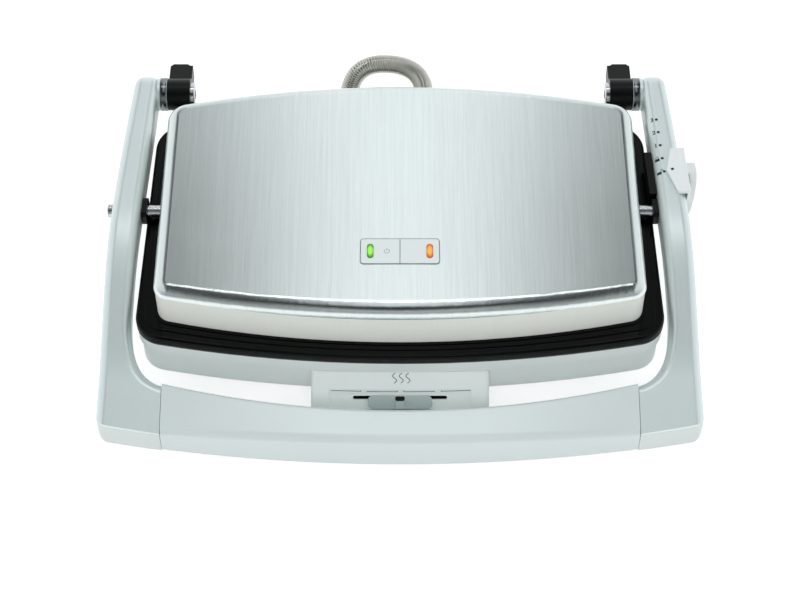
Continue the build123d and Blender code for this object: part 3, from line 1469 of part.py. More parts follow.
def make_height_cam():
    """Black cam bar along the inner face, its lower edge stepped for the lid heights."""
    front = PIVOT_Y + SPACER_LENGTH / 2 + FIT
    pitch = (CAM_REAR - front) / HEIGHT_STEPS
    across = -FIT - CAM_THICK / 2
    with BuildPart() as cam:
        with BuildSketch(slider_plane(CAM_BOTTOM)):
            with Locations((across, (CAM_REAR + front) / 2)):
                Rectangle(CAM_THICK, CAM_REAR - front)
        extrude(amount=CAM_TOP - CAM_BOTTOM)
        for step in range(1, HEIGHT_STEPS):
            with BuildSketch(slider_plane(CAM_BOTTOM)):
                with Locations((across, front + pitch * (step + 0.5))):
                    Rectangle(CAM_THICK, pitch)
            extrude(amount=CAM_STEP * step, mode=Mode.SUBTRACT)
        with BuildSketch(slider_plane(LINK_LEVEL - RUNNING_FIT)):
            with Locations((-FIT - LINK_SINK / 2, LINK_AT)):
                Rectangle(LINK_SINK + 0.1, 2 * (LINK_HALF + RUNNING_FIT))
        extrude(amount=LINK_THICK + 2 * RUNNING_FIT, mode=Mode.SUBTRACT)
    return cam.part


# ---------------------------------------------------------------- heat slider
HEAT_KNOB_WIDTH = 41.4
HEAT_KNOB_HEIGHT = 8.6
HEAT_KNOB_DOWN = 19.9
HEAT_KNOB_UNDER = FIT - RECESS_DEPTH
HEAT_KNOB_PLATE = 1.9
HEAT_RIDGE = 2.4


def make_heat_knob():
    """Slider plate in the console's recess, with a thumb ridge across its middle."""
    with BuildPart() as knob:
        with BuildSketch(apron_plane(HEAT_KNOB_UNDER)):
            with Locations((0, -HEAT_KNOB_DOWN)):
                RectangleRounded(HEAT_KNOB_WIDTH, HEAT_KNOB_HEIGHT, 3)
        extrude(amount=HEAT_KNOB_PLATE)
        with BuildSketch(apron_plane(HEAT_KNOB_UNDER + HEAT_KNOB_PLATE)):
            with Locations((0, -HEAT_KNOB_DOWN - 1.1)):
                Rectangle(6.0, 5.6)
        extrude(amount=HEAT_RIDGE, taper=8)
    return knob.part


def make_heat_stem():
    """Stem through the slot with the wiper that rides in the control's track."""
    wiper_top = -(RECESS_DEPTH + HOUSING_WALL) - 0.2
    with BuildPart() as stem:
        with BuildSketch(apron_plane(HEAT_KNOB_UNDER)):
            with Locations((0, -SLOT_DOWN)):
                Rectangle(5.0, SLOT_HEIGHT - 0.5)
        extrude(amount=wiper_top - HEAT_KNOB_UNDER)
        with BuildSketch(apron_plane(wiper_top)):
            with Locations((0, -SLOT_DOWN)):
                Rectangle(9.0, 3.2)
        extrude(amount=-2.8)
    return stem.part


# ---------------------------------------------------------------- build everything
def mirrored(piece):
    """Copy of a piece on the other side of the press."""
    return mirror(piece, about=Plane.YZ)


def main():
    """Build every piece and write it out."""
    os.makedirs("parts", exist_ok=True)
    bracket = make_hinge_bracket()
    blank = make_arm_blank()
    under = make_right_under(blank)
    pieces = {
        "base_housing": make_base_housing(),
        "bottom_cover": make_bottom_cover(),
        "cover_screws": make_cover_screws(),
        "rubber_feet": make_rubber_feet(),
        "lower_plate": make_lower_plate(),
        "lower_element": make_element(LOWER_PLATE_BOTTOM - ELEMENT_RADIUS - FIT),
        "lower_reflector": make_lower_reflector(),
        "hinge_bracket_left": bracket,
        "hinge_bracket_right": mirrored(bracket),
        "bracket_screws": make_bracket_screws(),
        "stand_pads": make_stand_pads(),
        "hinge_axles": make_hinge_axles(),
        "heat_control": make_heat_control(),
        "lower_thermal_fuse": make_thermal_fuse(LOWER_PLATE_BOTTOM - THERMAL_FUSE[2] - 1, 20),
        "terminal_block": make_terminal_block(),
        "mains_inlet_gland": make_mains_inlet_gland(),
        "conduit_base_gland": make_conduit_base_gland(),
        "conduit": make_conduit(),
        "arm_right": make_right_arm(blank, with_slot=True),
        "arm_left": mirrored(make_right_arm(blank, with_slot=False)),
        "arm_under_right": under,
        "arm_under_left": mirrored(under),
        "arm_screws": make_arm_screws(),
        "front_bar": make_front_bar(),
        "front_bar_cover": make_front_bar_cover(),
        "bar_screws": make_bar_screws(),
        "hinge_bushes": make_hinge_bushes(),
        "pivot_bolts": make_pivot_bolts(),
        "pivot_nuts": make_pivot_nuts(),
        "pivot_spacers": make_pivot_spacers(),
        "lid_cover": make_lid_cover(),
        "lid_band": make_lid_band(),
        "lid_frame": make_lid_frame(),
        "upper_plate": make_upper_plate(),
        "upper_element": make_element(UPPER_PLATE_TOP + ELEMENT_RADIUS + FIT),
        "upper_reflector": make_upper_reflector(),
        "upper_thermal_fuse": make_thermal_fuse(UPPER_PLATE_TOP, 20),
        "lid_screws": make_lid_screws(),
        "pivot_ears": make_pivot_ears(),
        "pivot_bushes": make_pivot_bushes(),
        "indicator_panel": make_indicator_panel(),
        "green_lens": make_lens(-1),
        "orange_lens": make_lens(1),
        "lamp_board": make_lamp_board(),
        "conduit_lid_gland": make_conduit_lid_gland(),
        "height_knob": make_height_knob(),
        "slider_link": make_slider_link(),
        "height_cam": make_height_cam(),
        "heat_knob": make_heat_knob(),
        "heat_stem": make_heat_stem(),
    }
    for name, piece in pieces.items():
        save(piece, name)


if __name__ == "__main__":
    main()
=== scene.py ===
import math

import bmesh
import bpy
from mathutils import Matrix, Vector


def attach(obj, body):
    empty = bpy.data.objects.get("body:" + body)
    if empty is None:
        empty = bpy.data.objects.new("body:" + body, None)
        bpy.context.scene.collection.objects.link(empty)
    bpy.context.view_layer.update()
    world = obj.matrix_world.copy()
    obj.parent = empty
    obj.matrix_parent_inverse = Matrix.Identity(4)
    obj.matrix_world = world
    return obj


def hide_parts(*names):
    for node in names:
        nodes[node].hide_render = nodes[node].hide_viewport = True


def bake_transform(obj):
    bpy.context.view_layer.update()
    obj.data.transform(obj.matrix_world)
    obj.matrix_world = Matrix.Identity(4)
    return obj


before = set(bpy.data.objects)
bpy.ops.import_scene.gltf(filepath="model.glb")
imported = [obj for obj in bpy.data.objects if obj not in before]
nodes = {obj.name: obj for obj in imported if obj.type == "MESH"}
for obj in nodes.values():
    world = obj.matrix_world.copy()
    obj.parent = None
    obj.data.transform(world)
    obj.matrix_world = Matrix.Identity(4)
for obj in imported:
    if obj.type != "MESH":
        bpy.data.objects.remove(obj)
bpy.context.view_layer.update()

MM = 0.001
scene = bpy.context.scene
scene.view_settings.view_transform = "Standard"


# Camera

ELEVATION = math.radians(54.5)
DISTANCE = 1.4
TARGET = Vector((0.0, -0.043, 0.045))
LENS_MM = 96.3
SENSOR_MM = 36.0


def place_camera():
    """Long lens looking down on the closed press from the front."""
    camera = bpy.data.objects.new("camera", bpy.data.cameras.new("camera"))
    camera.data.lens = LENS_MM
    camera.data.sensor_width = SENSOR_MM
    back = Vector((0.0, -math.cos(ELEVATION), math.sin(ELEVATION)))
    camera.location = TARGET + DISTANCE * back
    camera.rotation_euler = (math.pi / 2 - ELEVATION, 0.0, 0.0)
    scene.collection.objects.link(camera)
    scene.camera = camera


# Faces that carry marks: x to the right, y up and z outwards

PANEL_Y = -37.7 * MM
PANEL_TOP = 91.4 * MM
PANEL_FACE = Matrix.Translation((0.0, PANEL_Y, PANEL_TOP))
CONSOLE_FACE = Matrix.Translation((0.0, -94.0 * MM, 36.5 * MM)) @ Matrix.Rotation(math.radians(45), 4, "X")
LAMP_X = 19.0 * MM
LAMP_TOP = 88.5 * MM


# Material helpers


def linear(code):
    """Linear colour of an sRGB hex code such as "C8CFCE"."""
    parts = [int(code[i:i + 2], 16) / 255 for i in (0, 2, 4)]
    return tuple(c / 12.92 if c <= 0.04045 else ((c + 0.055) / 1.055) ** 2.4 for c in parts) + (1.0,)


def add_node(tree, kind, settings=None, values=None, links=None):
    """Adds a node with its own settings, its sockets' values and its incoming wires."""
    node = tree.nodes.new(kind)
    for name, value in (settings or {}).items():
        setattr(node, name, value)
    for socket, value in (values or {}).items():
        node.inputs[socket].default_value = value
    for socket, (source, output) in (links or {}).items():
        tree.links.new(source.outputs[output], node.inputs[socket])
    return node


def start_material(name, values):
    """New material with one Principled shader; returns it with its tree, shader and object coordinates."""
    material = bpy.data.materials.new(name)
    material.use_nodes = True
    tree = material.node_tree
    tree.nodes.clear()
    shader = add_node(tree, "ShaderNodeBsdfPrincipled", values=values)
    add_node(tree, "ShaderNodeOutputMaterial", links={"Surface": (shader, "BSDF")})
    place = add_node(tree, "ShaderNodeTexCoord")
    return material, tree, shader, place


def wire(tree, shader, color, rough=None, bump=None):
    """Joins a colour mix and, where given, a roughness range and a bump to the shader."""
    tree.links.new(color.outputs[2], shader.inputs["Base Color"])
    if rough:
        tree.links.new(rough.outputs["Result"], shader.inputs["Roughness"])
    if bump:
        tree.links.new(bump.outputs["Normal"], shader.inputs["Normal"])


def brushed_steel(name, light, dark, streak_mm=0.9, length_mm=60.0, dull=0.20):
    """Stainless steel sheet, belt-brushed front to back: fine straight lines that smear reflections sideways."""
    material, tree, shader, place = start_material(name, {"Metallic": 1.0, "Anisotropic": 0.3})
    along = streak_mm / length_mm
    stretch = add_node(tree, "ShaderNodeMapping", values={"Scale": (1.0, along, along)},
                       links={"Vector": (place, "Object")})
    # Real scratches are near 0.1 mm; these are drawn wider so that they show
    streaks = add_node(tree, "ShaderNodeTexNoise",
                       values={"Scale": 1000 / streak_mm, "Detail": 4.0, "Roughness": 0.65},
                       links={"Vector": (stretch, "Vector")})
    hairs = add_node(tree, "ShaderNodeTexNoise", values={"Scale": 4000 / streak_mm, "Detail": 2.0},
                     links={"Vector": (stretch, "Vector")})
    clouds = add_node(tree, "ShaderNodeTexNoise", values={"Scale": 18.0, "Detail": 3.0},
                      links={"Vector": (place, "Object")})
    tone = add_node(tree, "ShaderNodeMath", {"operation": "MULTIPLY_ADD"}, {1: 0.75, 2: 0.12}, {0: (streaks, "Fac")})
    color = add_node(tree, "ShaderNodeMix", {"data_type": "RGBA"}, {6: linear(dark), 7: linear(light)},
                     {0: (tone, 0)})
    rough = add_node(tree, "ShaderNodeMapRange", values={"To Min": dull, "To Max": dull + 0.05},
                     links={"Value": (clouds, "Fac")})
    bump = add_node(tree, "ShaderNodeBump", values={"Strength": 0.10, "Distance": 0.00006},
                    links={"Height": (hairs, "Fac")})
    grain = add_node(tree, "ShaderNodeCombineXYZ", values={"Y": 1.0})
    wire(tree, shader, color, rough, bump)
    tree.links.new(grain.outputs["Vector"], shader.inputs["Tangent"])
    return material


def satin_steel(name, light, dark, streak_mm=1.2, length_mm=30.0):
    """Steel band with a satin clear lacquer over short upright brushing: soft and evenly bright."""
    material, tree, shader, place = start_material(name, {"Metallic": 0.08, "IOR": 1.5, "Coat Weight": 0.25,
                                                          "Coat Roughness": 0.3})
    stretch = add_node(tree, "ShaderNodeMapping", values={"Scale": (1.0, 1.0, streak_mm / length_mm)},
                       links={"Vector": (place, "Object")})
    streaks = add_node(tree, "ShaderNodeTexNoise",
                       values={"Scale": 1000 / streak_mm, "Detail": 4.0, "Roughness": 0.65},
                       links={"Vector": (stretch, "Vector")})
    color = add_node(tree, "ShaderNodeMix", {"data_type": "RGBA"}, {6: linear(dark), 7: linear(light)},
                     {0: (streaks, "Fac")})
    rough = add_node(tree, "ShaderNodeMapRange", values={"To Min": 0.36, "To Max": 0.48},
                     links={"Value": (streaks, "Fac")})
    bump = add_node(tree, "ShaderNodeBump", values={"Strength": 0.10, "Distance": 0.00006},
                    links={"Height": (streaks, "Fac")})
    wire(tree, shader, color, rough, bump)
    return material


def metallic_paint(name, light, dark, gloss, metal):
    """Moulding or casting sprayed with silver metallic lacquer: soft sheen, faint orange peel and fine flake."""
    material, tree, shader, place = start_material(name, {"Metallic": metal, "Coat Weight": 0.15,
                                                          "Coat Roughness": 0.22, "IOR": 1.5})
    flake = add_node(tree, "ShaderNodeTexVoronoi", values={"Scale": 3200.0}, links={"Vector": (place, "Object")})
    peel = add_node(tree, "ShaderNodeTexNoise", values={"Scale": 620.0, "Detail": 2.0},
                    links={"Vector": (place, "Object")})
    drift = add_node(tree, "ShaderNodeTexNoise", values={"Scale": 14.0, "Detail": 2.0},
                     links={"Vector": (place, "Object")})
    sparkle = add_node(tree, "ShaderNodeMix", {"data_type": "FLOAT"}, {0: 0.3},
                       {2: (drift, "Fac"), 3: (flake, "Color")})
    color = add_node(tree, "ShaderNodeMix", {"data_type": "RGBA"}, {6: linear(dark), 7: linear(light)},
                     {0: (sparkle, 0)})
    rough = add_node(tree, "ShaderNodeMapRange", values={"To Min": gloss - 0.04, "To Max": gloss + 0.05},
                     links={"Value": (drift, "Fac")})
    bump = add_node(tree, "ShaderNodeBump", values={"Strength": 0.12, "Distance": 0.0001},
                    links={"Height": (peel, "Fac")})
    wire(tree, shader, color, rough, bump)
    return material


def moulded_plastic(name, light, dark, gloss, grain_mm=0.5, depth=0.15, more=None):
    """Injection-moulded plastic from a spark-eroded tool: even fine grain that breaks up the highlight."""
    values = {"IOR": 1.5}
    values.update(more or {})
    material, tree, shader, place = start_material(name, values)
    grain = add_node(tree, "ShaderNodeTexNoise", values={"Scale": 1000 / grain_mm, "Detail": 3.0, "Roughness": 0.6},
                     links={"Vector": (place, "Object")})
    flow = add_node(tree, "ShaderNodeTexNoise", values={"Scale": 22.0, "Detail": 3.0},
                    links={"Vector": (place, "Object")})
    color = add_node(tree, "ShaderNodeMix", {"data_type": "RGBA"}, {6: linear(dark), 7: linear(light)},
                     {0: (flow, "Fac")})
    rough = add_node(tree, "ShaderNodeMapRange", values={"To Min": gloss - 0.06, "To Max": gloss + 0.06},
                     links={"Value": (grain, "Fac")})
    bump = add_node(tree, "ShaderNodeBump", values={"Strength": depth, "Distance": 0.00012},
                    links={"Height": (grain, "Fac")})
    wire(tree, shader, color, rough, bump)
    return material


def plated_steel(name, light, dark, spangle_mm, gloss):
    """Steel with bright zinc plate: soft crystal patches in two close greys."""
    material, tree, shader, place = start_material(name, {"Metallic": 1.0})
    patches = add_node(tree, "ShaderNodeTexVoronoi", values={"Scale": 1000 / spangle_mm},
                       links={"Vector": (place, "Object")})
    cloud = add_node(tree, "ShaderNodeTexNoise", values={"Scale": 90.0, "Detail": 5.0},
                     links={"Vector": (place, "Object")})
    mixed = add_node(tree, "ShaderNodeMix", {"data_type": "FLOAT"}, {0: 0.55},
                     {2: (patches, "Color"), 3: (cloud, "Fac")})
    color = add_node(tree, "ShaderNodeMix", {"data_type": "RGBA"}, {6: linear(dark), 7: linear(light)},
                     {0: (mixed, 0)})
    rough = add_node(tree, "ShaderNodeMapRange", values={"To Min": gloss - 0.07, "To Max": gloss + 0.08},
                     links={"Value": (mixed, 0)})
    wire(tree, shader, color, rough)
    return material


def turned_steel(name, light, dark, groove_mm=0.35):
    """Bright turned bar: fine rings from the tool run round the bar, which lies along X."""
    material, tree, shader, place = start_material(name, {"Metallic": 1.0})
    rings = add_node(tree, "ShaderNodeTexWave", {"wave_type": "BANDS", "bands_direction": "X"},
                     {"Scale": 1000 / groove_mm / 20, "Distortion": 0.6, "Detail": 2.0}, {"Vector": (place, "Object")})
    smear = add_node(tree, "ShaderNodeTexNoise", values={"Scale": 400.0, "Detail": 3.0},
                     links={"Vector": (place, "Object")})
    color = add_node(tree, "ShaderNodeMix", {"data_type": "RGBA"}, {6: linear(dark), 7: linear(light)},
                     {0: (smear, "Fac")})
    rough = add_node(tree, "ShaderNodeMapRange", values={"To Min": 0.14, "To Max": 0.26},
                     links={"Value": (smear, "Fac")})
    bump = add_node(tree, "ShaderNodeBump", values={"Strength": 0.1, "Distance": 0.00004},
                    links={"Height": (rings, "Fac")})
    wire(tree, shader, color, rough, bump)
    return material


def cast_plate_coating(name):
    """Die-cast aluminium under a sprayed ceramic non-stick coat: dark, slightly glossy, with pale specks."""
    material, tree, shader, place = start_material(name, {"IOR": 1.5, "Coat Weight": 0.2, "Coat Roughness": 0.3})
    specks = add_node(tree, "ShaderNodeTexVoronoi", values={"Scale": 900.0}, links={"Vector": (place, "Object")})
    dots = add_node(tree, "ShaderNodeMapRange",
                    values={"From Min": 0.10, "From Max": 0.16, "To Min": 1.0, "To Max": 0.0},
                    links={"Value": (specks, "Distance")})
    peel = add_node(tree, "ShaderNodeTexNoise", values={"Scale": 700.0, "Detail": 2.0},
                    links={"Vector": (place, "Object")})
    color = add_node(tree, "ShaderNodeMix", {"data_type": "RGBA"}, {6: linear("17191A"), 7: linear("4A4D4E")},
                     {0: (dots, "Result")})
    rough = add_node(tree, "ShaderNodeMapRange", values={"To Min": 0.30, "To Max": 0.44},
                     links={"Value": (peel, "Fac")})
    bump = add_node(tree, "ShaderNodeBump", values={"Strength": 0.2, "Distance": 0.0001},
                    links={"Height": (peel, "Fac")})
    wire(tree, shader, color, rough, bump)
    return material


def lit_lens(name, core, rim, side):
    """Clear tinted polycarbonate over a lit lamp: bright middle, deeper colour at the rim, glossy face."""
    material, tree, shader, place = start_material(name, {"Roughness": 0.16, "IOR": 1.58, "Coat Weight": 0.3,
                                                          "Emission Strength": 0.35})
    centre = add_node(tree, "ShaderNodeMapping", {"vector_type": "TEXTURE"},
                      {"Location": (side * LAMP_X, PANEL_Y, LAMP_TOP), "Scale": (0.0024, 0.0052, 0.02)},
                      {"Vector": (place, "Object")})
    reach = add_node(tree, "ShaderNodeVectorMath", {"operation": "LENGTH"}, links={0: (centre, "Vector")})
    prisms = add_node(tree, "ShaderNodeTexWave", {"bands_direction": "Y"}, {"Scale": 90.0, "Distortion": 0.4},
                      {"Vector": (place, "Object")})
    edge = add_node(tree, "ShaderNodeMapRange", values={"From Min": 0.45, "From Max": 0.95},
                    links={"Value": (reach, "Value")})
    color = add_node(tree, "ShaderNodeMix", {"data_type": "RGBA"}, {6: linear(core), 7: linear(rim)},
                     {0: (edge, "Result")})
    bump = add_node(tree, "ShaderNodeBump", values={"Strength": 0.15, "Distance": 0.0001},
                    links={"Height": (prisms, "Fac")})
    wire(tree, shader, color, bump=bump)
    tree.links.new(color.outputs[2], shader.inputs["Emission Color"])
    return material


def make_finishes():
    """Every finish of the press by the name that the pieces below ask for."""
    finishes = {}
    # Sheet steel of the lid: the top keeps its brushed mirror, the wall is matt under a clear lacquer
    finishes["lid steel"] = brushed_steel("brushed_stainless_lid", "E6EDEC", "C8CFCE")
    finishes["wall steel"] = satin_steel("satin_lacquered_steel_wall", "FDFFF8", "F4F7ED")
    # Silver lacquer on the handle and its sliders: pale, with a soft wide highlight
    finishes["bar lacquer"] = metallic_paint("silver_lacquered_abs", "E4EDED", "D9E3E4", 0.36, 0.15)
    finishes["arm lacquer"] = metallic_paint("silver_lacquered_die_casting", "E4EEEE", "D5E0E1", 0.36, 0.5)
    finishes["knob lacquer"] = metallic_paint("silver_lacquered_knob", "F8FBFB", "EEF4F4", 0.34, 0.05)
    finishes["slider lacquer"] = metallic_paint("dark_silver_slider", "C2CECC", "B0BDBB", 0.36, 0.2)
    # Moulded parts: even, with a fine grain; the black ones stay dark at a slant, the lid's rim is glossy
    finishes["shell"] = moulded_plastic("moulded_grey_abs_shell", "F0F6F4", "E6EEEC", 0.42)
    finishes["panel"] = moulded_plastic("moulded_pale_polycarbonate", "EEF5F4", "E6EEED", 0.30, 0.8, 0.05)
    # The black nylon also paints shade: a dark block for the gap above the heat slider's thumb ridge
    finishes["black nylon and gap shade"] = moulded_plastic("moulded_black_glass_nylon_and_painted_gap_shade", "080A0B", "040506", 0.34, 0.6, 0.12,
                                              {"Specular IOR Level": 0.2})
    finishes["gloss black"] = moulded_plastic("moulded_gloss_black_pbt", "050707", "030404", 0.17, 0.9, 0.03,
                                              {"Specular IOR Level": 0.15})
    finishes["rubber"] = moulded_plastic("moulded_black_nitrile_rubber", "242424", "191919", 0.78, 0.9, 0.4)
    finishes["phenolic"] = moulded_plastic("moulded_brown_phenolic", "6A4426", "53341C", 0.40, 0.7, 0.2)
    finishes["ceramic"] = moulded_plastic("fired_steatite_ceramic", "EFE8DA", "DDD4C3", 0.55, 0.8, 0.25)
    # Inner and working metals: speckled coating, heat tint, zinc crystals and turned rings
    finishes["coated plate"] = cast_plate_coating("ceramic_coated_cast_aluminium")
    finishes["element"] = plated_steel("heat_tinted_steel_sheath", "8C7F73", "5B5350", 6.0, 0.42)
    finishes["zinc sheet"] = plated_steel("zinc_plated_sheet_steel", "C4C8CA", "9EA4A8", 9.0, 0.38)
    finishes["zinc screw"] = plated_steel("zinc_plated_screw_steel", "CDD0D1", "A8ACAE", 1.5, 0.30)
    finishes["bright steel"] = turned_steel("turned_bright_steel", "DADCDE", "B4B8BA")
    # The hub sleeves get a darker copy of the turned steel: a painted dark reflection for the shaded hubs, not a blued
    # finish
    finishes["sleeve steel"] = turned_steel("turned_steel_darkened_as_painted_shade", "8E9497", "6C7276")
    finishes["hose steel"] = turned_steel("rolled_stainless_hose", "C9C8C0", "A3A29A")
    # Lit lenses, printing inks, and a mid grey that is both print and painted gap shadow
    finishes["green lens"] = lit_lens("green_lit_polycarbonate", "8EF51E", "2E7D10", -1)
    finishes["orange lens"] = lit_lens("orange_lit_polycarbonate", "FFA62A", "B84E08", 1)
    finishes["print"] = moulded_plastic("screen_printed_dark_ink", "1E2223", "171A1B", 0.5, 0.4, 0.05)
    # The mid grey prints the console's marks and also paints the shadow lines round and across the indicator panel
    finishes["mid print"] = moulded_plastic("pad_printed_mid_grey_ink_and_painted_gap_shadow", "6E7B7C", "626F70", 0.5, 0.4, 0.05)
    finishes["pale print"] = moulded_plastic("screen_printed_pale_ink", "A9B2B1", "9BA4A3", 0.5, 0.4, 0.05)
    return finishes


NODE_FINISH = {
    "base_housing": "shell", "bottom_cover": "zinc sheet", "cover_screws": "zinc screw", "rubber_feet": "rubber",
    "lower_plate": "coated plate", "lower_element": "element", "lower_reflector": "zinc sheet",
    "hinge_bracket_left": "black nylon and gap shade", "hinge_bracket_right": "black nylon and gap shade", "bracket_screws": "zinc screw",
    "stand_pads": "rubber", "hinge_axles": "bright steel", "heat_control": "black nylon and gap shade",
    "lower_thermal_fuse": "ceramic", "terminal_block": "ceramic", "mains_inlet_gland": "black nylon and gap shade",
    "conduit_base_gland": "black nylon and gap shade", "arm_left": "arm lacquer", "arm_right": "arm lacquer",
    "arm_under_left": "shell", "arm_under_right": "shell", "front_bar": "bar lacquer",
    "front_bar_cover": "shell", "hinge_bushes": "black nylon and gap shade", "pivot_bolts": "bright steel",
    "pivot_nuts": "zinc screw", "pivot_spacers": "black nylon and gap shade", "arm_screws": "zinc screw",
    "bar_screws": "zinc screw", "lid_cover": "lid steel", "lid_band": "wall steel", "lid_frame": "gloss black",
    "upper_plate": "coated plate", "upper_element": "element", "upper_reflector": "zinc sheet",
    "pivot_ears": "zinc sheet", "pivot_bushes": "black nylon and gap shade", "indicator_panel": "panel",
    "green_lens": "green lens", "orange_lens": "orange lens", "lamp_board": "phenolic",
    "upper_thermal_fuse": "ceramic", "conduit_lid_gland": "black nylon and gap shade", "lid_screws": "zinc screw",
    "height_knob": "knob lacquer", "slider_link": "bright steel", "height_cam": "black nylon and gap shade",
    "heat_knob": "slider lacquer", "heat_stem": "black nylon and gap shade", "conduit": "hose steel",
}


def finish_nodes(finishes):
    """Gives each carried-over node its finish."""
    for name, finish in NODE_FINISH.items():
        mesh = nodes[name].data
        for index in range(len(mesh.materials)):
            mesh.materials[index] = finishes[finish]


# Pieces made here


def add_piece(name, mesh, finish, body=None):
    """New object at the origin with its finish; it rides on the body if one is given."""
    piece = bpy.data.objects.new(name, mesh)
    scene.collection.objects.link(piece)
    mesh.materials.clear()
    mesh.materials.append(finish)
    if body:
        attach(piece, body)
    return piece


def baked(source):
    """Mesh of an object as its modifiers or its curve settings leave it; the source is removed."""
    bpy.context.view_layer.update()
    graph = bpy.context.evaluated_depsgraph_get()
    mesh = bpy.data.meshes.new_from_object(source.evaluated_get(graph))
    bpy.data.objects.remove(source)
    return mesh


# Control points of the hose from the lid's gland to the base's elbow, and where its two lengths meet
HOSE_ROUTE = ((0.0165, 0.110, 0.0702), (0.0172, 0.1403, 0.0702), (-0.0400, 0.1403, 0.0702), (-0.0355, 0.118, 0.038))
HOSE_SPLIT = 24.0 * MM
HOSE_RIB = 1.7 * MM
HOSE_VALLEY = 6.05 * MM
HOSE_CREST = 6.45 * MM
# One rolled rib: share of the pitch and radius of each of its steps
RIB_STEPS = ((0.12, HOSE_VALLEY), (0.2, HOSE_CREST - 0.1 * MM), (0.18, HOSE_CREST),
             (0.3, HOSE_CREST - 0.05 * MM), (0.2, HOSE_VALLEY))


def hose_line():
    """Smooth line of the hose from the lid's gland round to the base's elbow."""
    curve = bpy.data.curves.new("hose_line", "CURVE")
    curve.dimensions = "3D"
    curve.resolution_u = 24
    line = curve.splines.new("NURBS")
    line.points.add(len(HOSE_ROUTE) - 1)
    for point, place in zip(line.points, HOSE_ROUTE):
        point.co = (*place, 1.0)
    line.order_u = 3
    line.use_endpoint_u = True
    guide = bpy.data.objects.new("hose_line", curve)
    scene.collection.objects.link(guide)
    return guide


def line_length(guide):
    """Length of a guide curve along its samples."""
    bpy.context.view_layer.update()
    graph = bpy.context.evaluated_depsgraph_get()
    mesh = bpy.data.meshes.new_from_object(guide.evaluated_get(graph))
    total = sum((mesh.vertices[e.vertices[0]].co - mesh.vertices[e.vertices[1]].co).length for e in mesh.edges)
    bpy.data.meshes.remove(mesh)
    return total


def ribbed_tube(start, end):
    """Straight tube along X whose wall rises and falls once for each rolled rib."""
    shape = bmesh.new()
    turn = Matrix.Translation((start, 0.0, 0.0)) @ Matrix.Rotation(math.pi / 2, 4, "Y")
    bmesh.ops.create_circle(shape, segments=32, radius=HOSE_VALLEY, matrix=turn)
    first = shape.edges[:]
    rim = first
    ribs = round((end - start) / HOSE_RIB)
    pitch = (end - start) / ribs
    radius = HOSE_VALLEY
    for _ in range(ribs):
        for share, reach in RIB_STEPS:
            made = bmesh.ops.extrude_edge_only(shape, edges=rim)["geom"]
            ring = [part for part in made if isinstance(part, bmesh.types.BMVert)]
            rim = [part for part in made if isinstance(part, bmesh.types.BMEdge)]
            rim = [edge for edge in rim if edge.verts[0] in ring and edge.verts[1] in ring]
            bmesh.ops.translate(shape, verts=ring, vec=(share * pitch, 0.0, 0.0))
            bmesh.ops.scale(shape, verts=ring, vec=(1.0, reach / radius, reach / radius))
            radius = reach
    bmesh.ops.edgeloop_fill(shape, edges=first)
    bmesh.ops.edgeloop_fill(shape, edges=rim)
    bmesh.ops.recalc_face_normals(shape, faces=shape.faces)
    for face in shape.faces:
        face.smooth = len(face.verts) == 4
    mesh = bpy.data.meshes.new("ribbed_tube")
    shape.to_mesh(mesh)
    shape.free()
    return mesh


def make_hose(finishes):
    """Ribbed steel hose in two lengths that meet in mid-air."""
    guide = hose_line()
    total = line_length(guide)
    for name, start, end in (("hose_lid_end", 0.0, HOSE_SPLIT), ("hose_base_end", HOSE_SPLIT, total)):
        straight = bpy.data.objects.new("straight", ribbed_tube(start, end))
        scene.collection.objects.link(straight)
        bend = straight.modifiers.new("bend", "CURVE")
        bend.object = guide
        bend.deform_axis = "POS_X"
        hose = add_piece(name, baked(straight), finishes["hose steel"])
        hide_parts("conduit")
        if name == "hose_base_end":
            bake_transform(hose)
        else:
            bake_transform(hose)
    bpy.data.objects.remove(guide)


AXLE_LINE = Vector((0.0, 119.5, 62.0)) * MM
SLEEVE_X = 162.9 * MM
SLEEVE_LENGTH = 4.4 * MM
SLEEVE_WALL = 0.34 * MM
SLEEVE_RADIUS = 11.38 * MM


def make_hub_sleeves(finishes):
    """Thin turned steel sleeve round each arm's hub, between the arm and its bracket."""
    for name, side in (("hub_sleeve_left", -1), ("hub_sleeve_right", 1)):
        shape = bmesh.new()
        bmesh.ops.create_grid(shape, x_segments=1, y_segments=1, size=0.5)
        bmesh.ops.scale(shape, verts=shape.verts, vec=(SLEEVE_LENGTH, SLEEVE_WALL, 1.0))
        bmesh.ops.bevel(shape, geom=shape.verts, offset=0.1 * MM, affect="VERTICES", segments=2, profile=0.5,
                        material=-1)
        bmesh.ops.delete(shape, geom=shape.faces, context="FACES_ONLY")
        bmesh.ops.translate(shape, verts=shape.verts, vec=(0.0, SLEEVE_RADIUS, 0.0))
        bmesh.ops.spin(shape, geom=shape.verts[:] + shape.edges[:], cent=(0, 0, 0), axis=(1, 0, 0),
                       angle=2 * math.pi, steps=96, use_merge=True)
        bmesh.ops.remove_doubles(shape, verts=shape.verts, dist=0.002 * MM)
        bmesh.ops.recalc_face_normals(shape, faces=shape.faces)
        for face in shape.faces:
            face.smooth = True
        bmesh.ops.translate(shape, verts=shape.verts, vec=AXLE_LINE + Vector((side * SLEEVE_X, 0.0, 0.0)))
        mesh = bpy.data.meshes.new(name)
        shape.to_mesh(mesh)
        shape.free()
        add_piece(name, mesh, finishes["sleeve steel"], "handle")


# Marks, each built flat and then laid on its face

MARK_LIFT = 0.05 * MM
MARK_FLATNESS = 0.35
MARK_SLICE = 0.3 * MM


